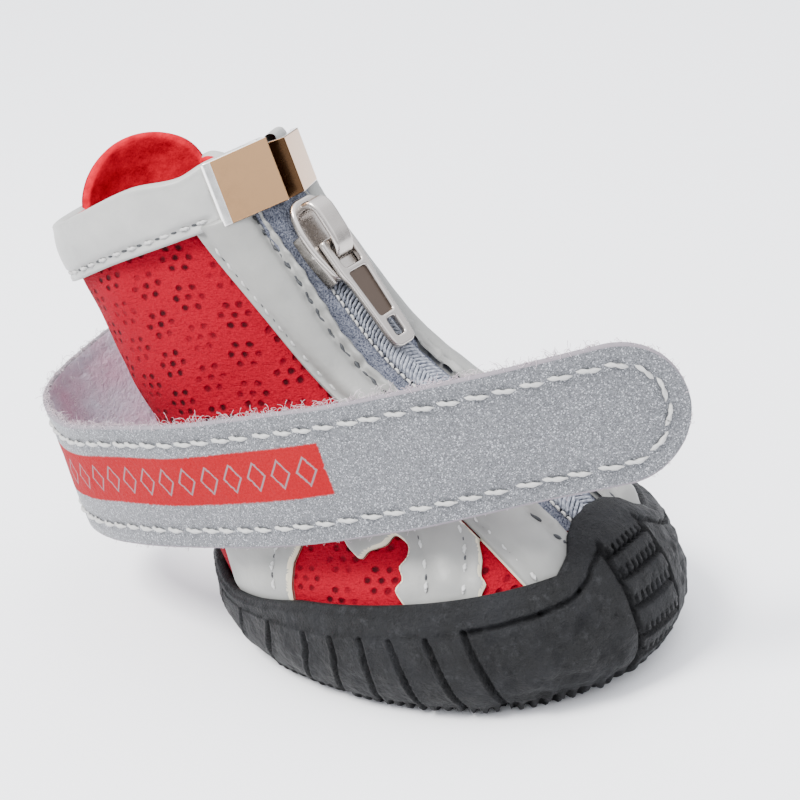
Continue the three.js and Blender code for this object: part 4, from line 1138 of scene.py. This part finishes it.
def build_clip(side, name):
    """A sheet folded round the end of the band: outer face, end wall and inner face."""
    near, wall, far_in = (float(around_at(y, 0.93)) for y in (0.45, 1.25, 4.6))
    outer = 1.5 * GAP + 1.4 * 0.6 + GAP
    width = 0.9
    edge = [
        (REACH - 0.002 + 0.0150 * math.sin(b), outer - 0.35 + (width + 0.35) * (1 - (1 - math.cos(b)) * 0.9))
        for b in np.linspace(math.pi * 0.55, 0, 9)
    ]
    section = [(REACH - 0.004, outer - 0.2), *edge, (near, outer + width), (near, -0.8), (far_in, -0.8), (far_in, 0.0),
               (wall, 0.0), (wall, outer)]
    n = len(section)
    verts = [skin(side * a, h, o) for h in (0.852, 1.004 if side < 0 else 0.985) for a, o in section]
    walls = [[k, (k + 1) % n, n + (k + 1) % n, n + k] for k in range(n)]
    low = [[*range(n - 5), n - 1], [n - 6, n - 5, n - 2, n - 1], [n - 5, n - 4, n - 3, n - 2]]
    faces = walls + [q[::-1] for q in low] + [[v + n for v in q] for q in low]
    # the outer face keeps the clip's metal; the end wall and the inner face get painted shade, a dark copy of it, and
    # the rounded edge and the other faces a painted highlight, a bright copy of it
    slots = np.ones(len(faces), int)
    slots[n - 7:n - 4] = 0, 2, 2
    if side < 0:
        faces = [f[::-1] for f in faces]
    obj = mesh_object(f"clip_{name}", np.array(verts), faces, [CLIP_LOOK, PAINTED_HIGHLIGHT_LOOK, PAINTED_SHADE_LOOK], slots=slots)
    bevel = obj.modifiers.new("bevel", "BEVEL")
    bevel.width = 0.16 * MM
    bevel.segments = 3
    bevel.limit_method = "ANGLE"
    bevel.angle_limit = math.radians(50)
    obj.modifiers.new("weights", "WEIGHTED_NORMAL").keep_sharp = False
    piece(obj, [f"collar_clip_{name}"])


# Zip


def build_zip():
    rows, columns = 150, 21
    height = np.linspace(0.245, 0.875, rows)[:, None]
    y = np.linspace(-5.7, 5.7, columns)[None]
    out = out_of(np.zeros((rows, 1)), height)
    flat = ring_point(np.zeros((rows, 1)), height) + np.stack([0 * y, y, 0 * y], -1)
    # the tape lies hollow at the sides of the coil
    depth = (-0.35 - 1.05 * smooth(np.abs(y), 2.4, 4.2) + 0.12 * np.sin(height * 160 + y))[..., None]
    ring = np.concatenate([flat + out * depth, (flat + out * (depth - 0.5))[:, ::-1]], 1)
    faces = [f[::-1] for f in capped_faces(rows, columns * 2)]
    piece(mesh_object("tape_look", ring.reshape(-1, 3), faces, TAPE_LOOK), ["zip_tape"])

    lines = []
    h = 0.25
    while h < 0.70:
        side = 1 if len(lines) % 2 else -1
        base = ring_point(0.0, h)
        out = out_of(0.0, h)
        lean = ring_point(0.0, h + 0.004) - base
        lines.append([
            base + np.array([0, side * y, 0]) + out * z + lean * k * 0.9
            for k, (y, z) in enumerate(((2.5, -0.2), (2.45, 0.3), (2.1, 0.7), (1.4, 0.9), (0.5, 0.85), (-0.2, 0.6)))
        ])
        h += 0.35 / (np.linalg.norm(ring_point(0.0, h + 0.005) - ring_point(0.0, h - 0.005)) / 0.01)
    verts, faces = tubes(np.array(lines), 0.28, 7)
    piece(mesh_object("zip_coil", verts, faces, COIL_LOOK), ["zip_teeth"])
    # stitched rows that hold the coil
    hs = np.linspace(0.25, 0.70, 160)
    out = out_of(np.zeros_like(hs), hs)
    runs = [
        stitch_run(ring_point(0.0, hs) + np.array([0, y, 0]) - out * 0.25, out, 1.15, 0.85, 0.2, 0.3)
        for y in (-2.9, 2.9)
    ]
    piece(thread("zip_stitches", runs, 0.2, PALE_THREAD))


# Strap


def centripetal(points, per):
    """Dense points of a centripetal spline through the given points."""
    p = np.asarray(points, float)
    p = np.vstack([2 * p[0] - p[1], p, 2 * p[-1] - p[-2]])
    t = np.linspace(0, 1, per, endpoint=False)[:, None]
    out = []
    for k in range(1, len(p) - 2):
        p0, p1, p2, p3 = p[k - 1:k + 3]
        d0, d1, d2 = (max(np.linalg.norm(b - a) ** 0.5, 1e-4) for a, b in ((p0, p1), (p1, p2), (p2, p3)))
        m1 = ((p1 - p0) / d0 - (p2 - p0) / (d0 + d1) + (p2 - p1) / d1) * d1
        m2 = ((p2 - p1) / d1 - (p3 - p1) / (d1 + d2) + (p3 - p2) / d2) * d1
        out.append(hermite(t, p1, m1, p2, m2))
    return np.concatenate([*out, p[-2][None]])


def blended(values, per):
    """Values blended smoothly in step with the spline."""
    v = np.asarray(values, float)
    t = smooth(np.linspace(0, 1, per, endpoint=False), 0, 1)[:, None]
    return averaged(np.concatenate([*(a * (1 - t) + b * t for a, b in zip(v, v[1:])), v[-1][None]]), 41)


class Strap:
    """The strap's middle line with its upward and outward directions."""

    def __init__(self):
        middles, ups = [], []
        for i in range(5):
            around, height = 0.36 + (0.60 - 0.36) * i / 4, 0.592 - 0.02 * i / 4
            middles.append(skin(around, height, 4 * GAP + STRAP_THICK / 2))
            ups.append(unit(ring_point(around, 0.592 + 0.05) - ring_point(around, 0.592 - 0.05)))
        for x, y, z, lean in STRAP_PATH:
            lean = math.radians(lean)
            middles.append(np.array([x * HALF_LENGTH, y * HALF_WIDTH, z * BOOT_HEIGHT]))
            ups.append(np.array([-math.sin(lean), 0, math.cos(lean)]))
        self.line = centripetal(middles, 40)
        self.s = run_of(self.line)
        self.tip = self.s[-1] - STRAP_WIDTH / 2
        tangent = unit(np.gradient(self.line, axis=0))
        up = blended(ups, 40)
        self.up = unit(up - (up * tangent).sum(-1, keepdims=True) * tangent)
        self.out = unit(np.cross(tangent, self.up))

    def at(self, s, t, h):
        """Point at a distance s along, t up and h out of the middle."""
        s, t, h = np.broadcast_arrays(*(np.asarray(v, float) for v in (s, t, h)))
        line, up, out = (read_at(s, self.s, values) for values in (self.line, self.up, self.out))
        ripple = 0.25 * np.sin(s / 9.0 + t / 7.0) + 0.15 * np.sin(s / 4.3 - t / 5.0)
        return line + unit(up) * t[..., None] + unit(out) * (h + ripple * smooth(s, 35, 60))[..., None]

    def half(self, s):
        into = max(0, s - self.tip)
        return math.sqrt(max(0.01, (STRAP_WIDTH / 2) ** 2 - into * into))

    def stitches(self, s, t, pitch, share):
        """A run of stitches along a path on the strap's face."""
        face = self.at(s, t, STRAP_THICK / 2 - 0.25)
        out = unit(self.at(s, t, 1.0) - self.at(s, t, 0.0))
        return stitch_run(face, out, pitch, share, 0.26, 0.5, slant=2.2)


def build_strap():
    strap = Strap()
    thick, r = 0.55, STRAP_WIDTH / 2 - STRAP_EDGE
    round_end = 1 - np.sin(np.linspace(0, math.pi / 2, 30)[1:])
    stations = np.concatenate([np.linspace(0, strap.tip, 330), strap.s[-1] - STRAP_WIDTH / 2 * round_end])
    flat = np.linspace(-1, 1, 30)
    arc = np.linspace(-math.pi / 2, math.pi / 2, 8)[1:-1]
    rows = []
    for s in stations:
        half = strap.half(s)
        edge = min(0.4, half * 0.6)
        t_face, t_edge = flat * (half - edge), (half - edge) + edge * np.cos(arc)
        t = np.concatenate([t_face, t_edge, t_face[::-1], -t_edge[::-1]])
        h_edge = -np.sin(arc) * thick
        h = np.concatenate([np.full(30, thick), h_edge, np.full(30, -thick), -h_edge])
        # the seam lies in a dent, which shows on the back too
        near = np.abs(np.abs(t_face) - r) if s < strap.tip else np.abs(np.hypot(t_face, s - strap.tip) - r)
        dent = 0.34 * np.exp(-((np.minimum(near, 9.0) / 0.75) ** 2)) * (s > 3)
        h[:30] -= dent
        h[36:66] += dent[::-1] * 0.5
        rows.append((np.full(len(t), s), t, h + 0.45))
    s, t, h = np.array(rows).transpose(1, 0, 2)
    points = strap.at(s, t, h)
    rough = 0.05 * noise(points, 1.3, 41) + 0.08 * noise(points, 6.0, 42)
    points = strap.at(s, t, h + rough * np.sign(h))
    n = points.shape[1]
    slots = np.tile(np.repeat((0, 2, 1, 2), (29, 7, 29, 7)), len(points) - 1)
    obj = mesh_object("strap_look", points.reshape(-1, 3), capped_faces(len(points), n),
                      [STRAP_LOOK, PILE_LOOK, HEM_LOOK], pairs(s, t).reshape(-1, 2), np.append(slots, (2, 2)))
    piece(obj, ["strap"])

    # the seam goes along the bottom, round the tip and back along the top
    straight = np.arange(SEWN, strap.tip, 0.4)
    angle = np.linspace(-math.pi / 2, math.pi / 2, 60)
    seam_s = np.concatenate([straight, strap.tip + r * np.cos(angle), straight[::-1]])
    seam_t = np.concatenate([np.full(len(straight), -r), r * np.sin(angle), np.full(len(straight), r)])
    runs = [strap.stitches(seam_s, seam_t, 3.85, 0.90)]
    # a box of stitches holds the sewn end
    corners = np.array([(3.0, -r), (SEWN, -r), (SEWN, r), (3.0, r), (3.0, -r)])
    for start, end in zip(corners, corners[1:]):
        box_s, box_t = (start + (end - start) * np.linspace(0, 1, 60)[:, None]).T
        runs.append(strap.stitches(box_s, box_t, 3.6, 0.88))
    piece(thread("strap_stitches", runs, 0.27, PALE_THREAD, 0.3))
    build_fibres(strap)


def curls(strap, place, head, turn, size, spread):
    """Fibres that wander from their roots."""
    path = [place]
    for _ in range(FIBRE_STEPS - 1):
        head = unit(head + np.cross(turn, head) * 0.42 + rng.normal(0, spread, head.shape))
        path.append(path[-1] + head * size[:, None])
    return strap.at(*np.array(path).transpose(2, 1, 0))


def build_fibres(strap):
    """Loose curly fibres along the strap's edges, on its pile and round its tip."""
    end = strap.s[-1] - 10
    groups = (
        (1300, (18, end), 9.9, (-0.15, 0.7), 1.0, 1.05),
        (300, (30, end), -9.9, (-0.15, 0.5), -1.0, 0.65),
        (1000, (24, 125), None, (-0.15, -0.05), 0.0, 0.8),
    )
    lines = []
    for count, along, t0, out, lift, reach in groups:
        s = rng.uniform(*along, count)
        t = rng.uniform(-9.5, 9.5, count) if t0 is None else np.full(count, t0)
        place = np.stack([s, t, rng.uniform(*out, count)], -1)
        head = unit(np.stack([
            rng.normal(0, 0.6, count), lift + rng.normal(0, 0.35, count),
            rng.normal(-0.1, 0.6, count) - (0.9 if t0 is None else 0.0),
        ], -1))
        size = reach * rng.uniform(0.35, 1.25, count) / FIBRE_STEPS * 1.8
        lines.append(curls(strap, place, head, rng.normal(0, 1, (count, 3)), size, 0.22))
    count = 120
    angle = rng.uniform(-1.5, 1.5, count)
    r = STRAP_WIDTH / 2 - 0.1
    head = unit(np.stack([np.cos(angle), np.sin(angle), rng.normal(0, 0.7, count)], -1))
    place = np.stack([strap.tip + r * np.cos(angle), r * np.sin(angle), rng.uniform(-0.5, 0.7, count)], -1)
    turn = rng.normal(0, 1, (count, 3))
    lines.append(curls(strap, place, head, turn, rng.uniform(0.06, 0.22, count), 0.2))
    verts, faces = tubes(np.concatenate(lines), 0.032, 3)
    piece(mesh_object("strap_fibres", verts, faces, FIBRE_LOOK))


# Stage


def build_camera():
    """Camera at the photo's angle; gives the level directions to its right and towards it."""
    azimuth, elevation, roll = (math.radians(v) for v in (41.0, 23.2, 9.0))
    back = Vector((
        math.sin(azimuth) * math.cos(elevation), -math.cos(azimuth) * math.cos(elevation), math.sin(elevation),
    ))
    level = Vector((math.cos(azimuth), math.sin(azimuth), 0.0))
    rise = back.cross(level)
    right = level * math.cos(roll) - rise * math.sin(roll)
    up = level * math.sin(roll) + rise * math.cos(roll)
    cam = linked("camera", bpy.data.cameras.new("camera"))
    cam.data.lens = 100
    cam.data.sensor_width = 36
    cam.data.clip_start = 0.01
    cam.matrix_world = Matrix((right, up, back)).transposed().to_4x4()
    cam.location = Vector((-0.0035, 0.0, 0.0363)) + back * 0.328
    bpy.context.scene.camera = cam
    return (Vector((v.x, v.y, 0)).normalized() for v in (right, back))


def area(name, place, target, size, power, color):
    data = bpy.data.lights.new(name, "AREA")
    data.size = size
    data.energy = power
    data.color = color
    obj = linked(name, data)
    obj.location = place
    obj.rotation_euler = (target - place).to_track_quat("-Z", "Y").to_euler()


def build_stage():
    right, toward = build_camera()
    bpy.ops.mesh.primitive_plane_add(size=6)
    floor = bpy.context.object
    floor.name = "floor"
    floor.data.materials.append(plain_look("floor", (0.88, 0.885, 0.905), 0.9, 0.05))
    floor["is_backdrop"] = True
    # a soft dome, brighter overhead
    world = bpy.data.worlds.new("world")
    bpy.context.scene.world = world
    world.use_nodes = True
    tree = world.node_tree
    background = tree.nodes["Background"]
    background.inputs[0].default_value = (0.94, 0.955, 1.0, 1)
    way = tree.nodes.new("ShaderNodeSeparateXYZ")
    dome = tree.nodes.new("ShaderNodeMapRange")
    dome.inputs["From Min"].default_value = 0.0
    dome.inputs["To Min"].default_value = 0.65
    dome.inputs["To Max"].default_value = 3.9
    tree.links.new(tree.nodes.new("ShaderNodeTexCoord").outputs["Generated"], way.inputs[0])
    tree.links.new(way.outputs[2], dome.inputs["Value"])
    tree.links.new(dome.outputs[0], background.inputs[1])
    centre = Vector((-0.01, 0, 0.035))
    key = centre - right * 0.40 + toward * 0.26 + Vector((0, 0, 0.72))
    area("key", key, centre, 0.30, 14.5, (1.0, 0.985, 0.96))
    fill = centre + right * 0.5 + toward * 0.45 + Vector((0, 0, 0.28))
    area("fill", fill, centre, 0.5, 0.7, (0.95, 0.97, 1.0))


build_outsole()
build_upper()
seams = []
for side, name in ((-1, "right"), (1, "left")):
    seams.append((side, build_facing(side, name)))
    seams.append((side, build_overlay(side, name)))
    build_clip(side, name)
stitch_leather(seams, build_band())
build_zip()
build_slider()
build_pull()
build_strap()
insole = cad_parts["insole"].data
insole.materials.clear()
insole.materials.append(LINING_LOOK)
build_stage()

boxes = {"cad": [list(v) for v in cad_box], "visual": [list(v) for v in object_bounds()]}
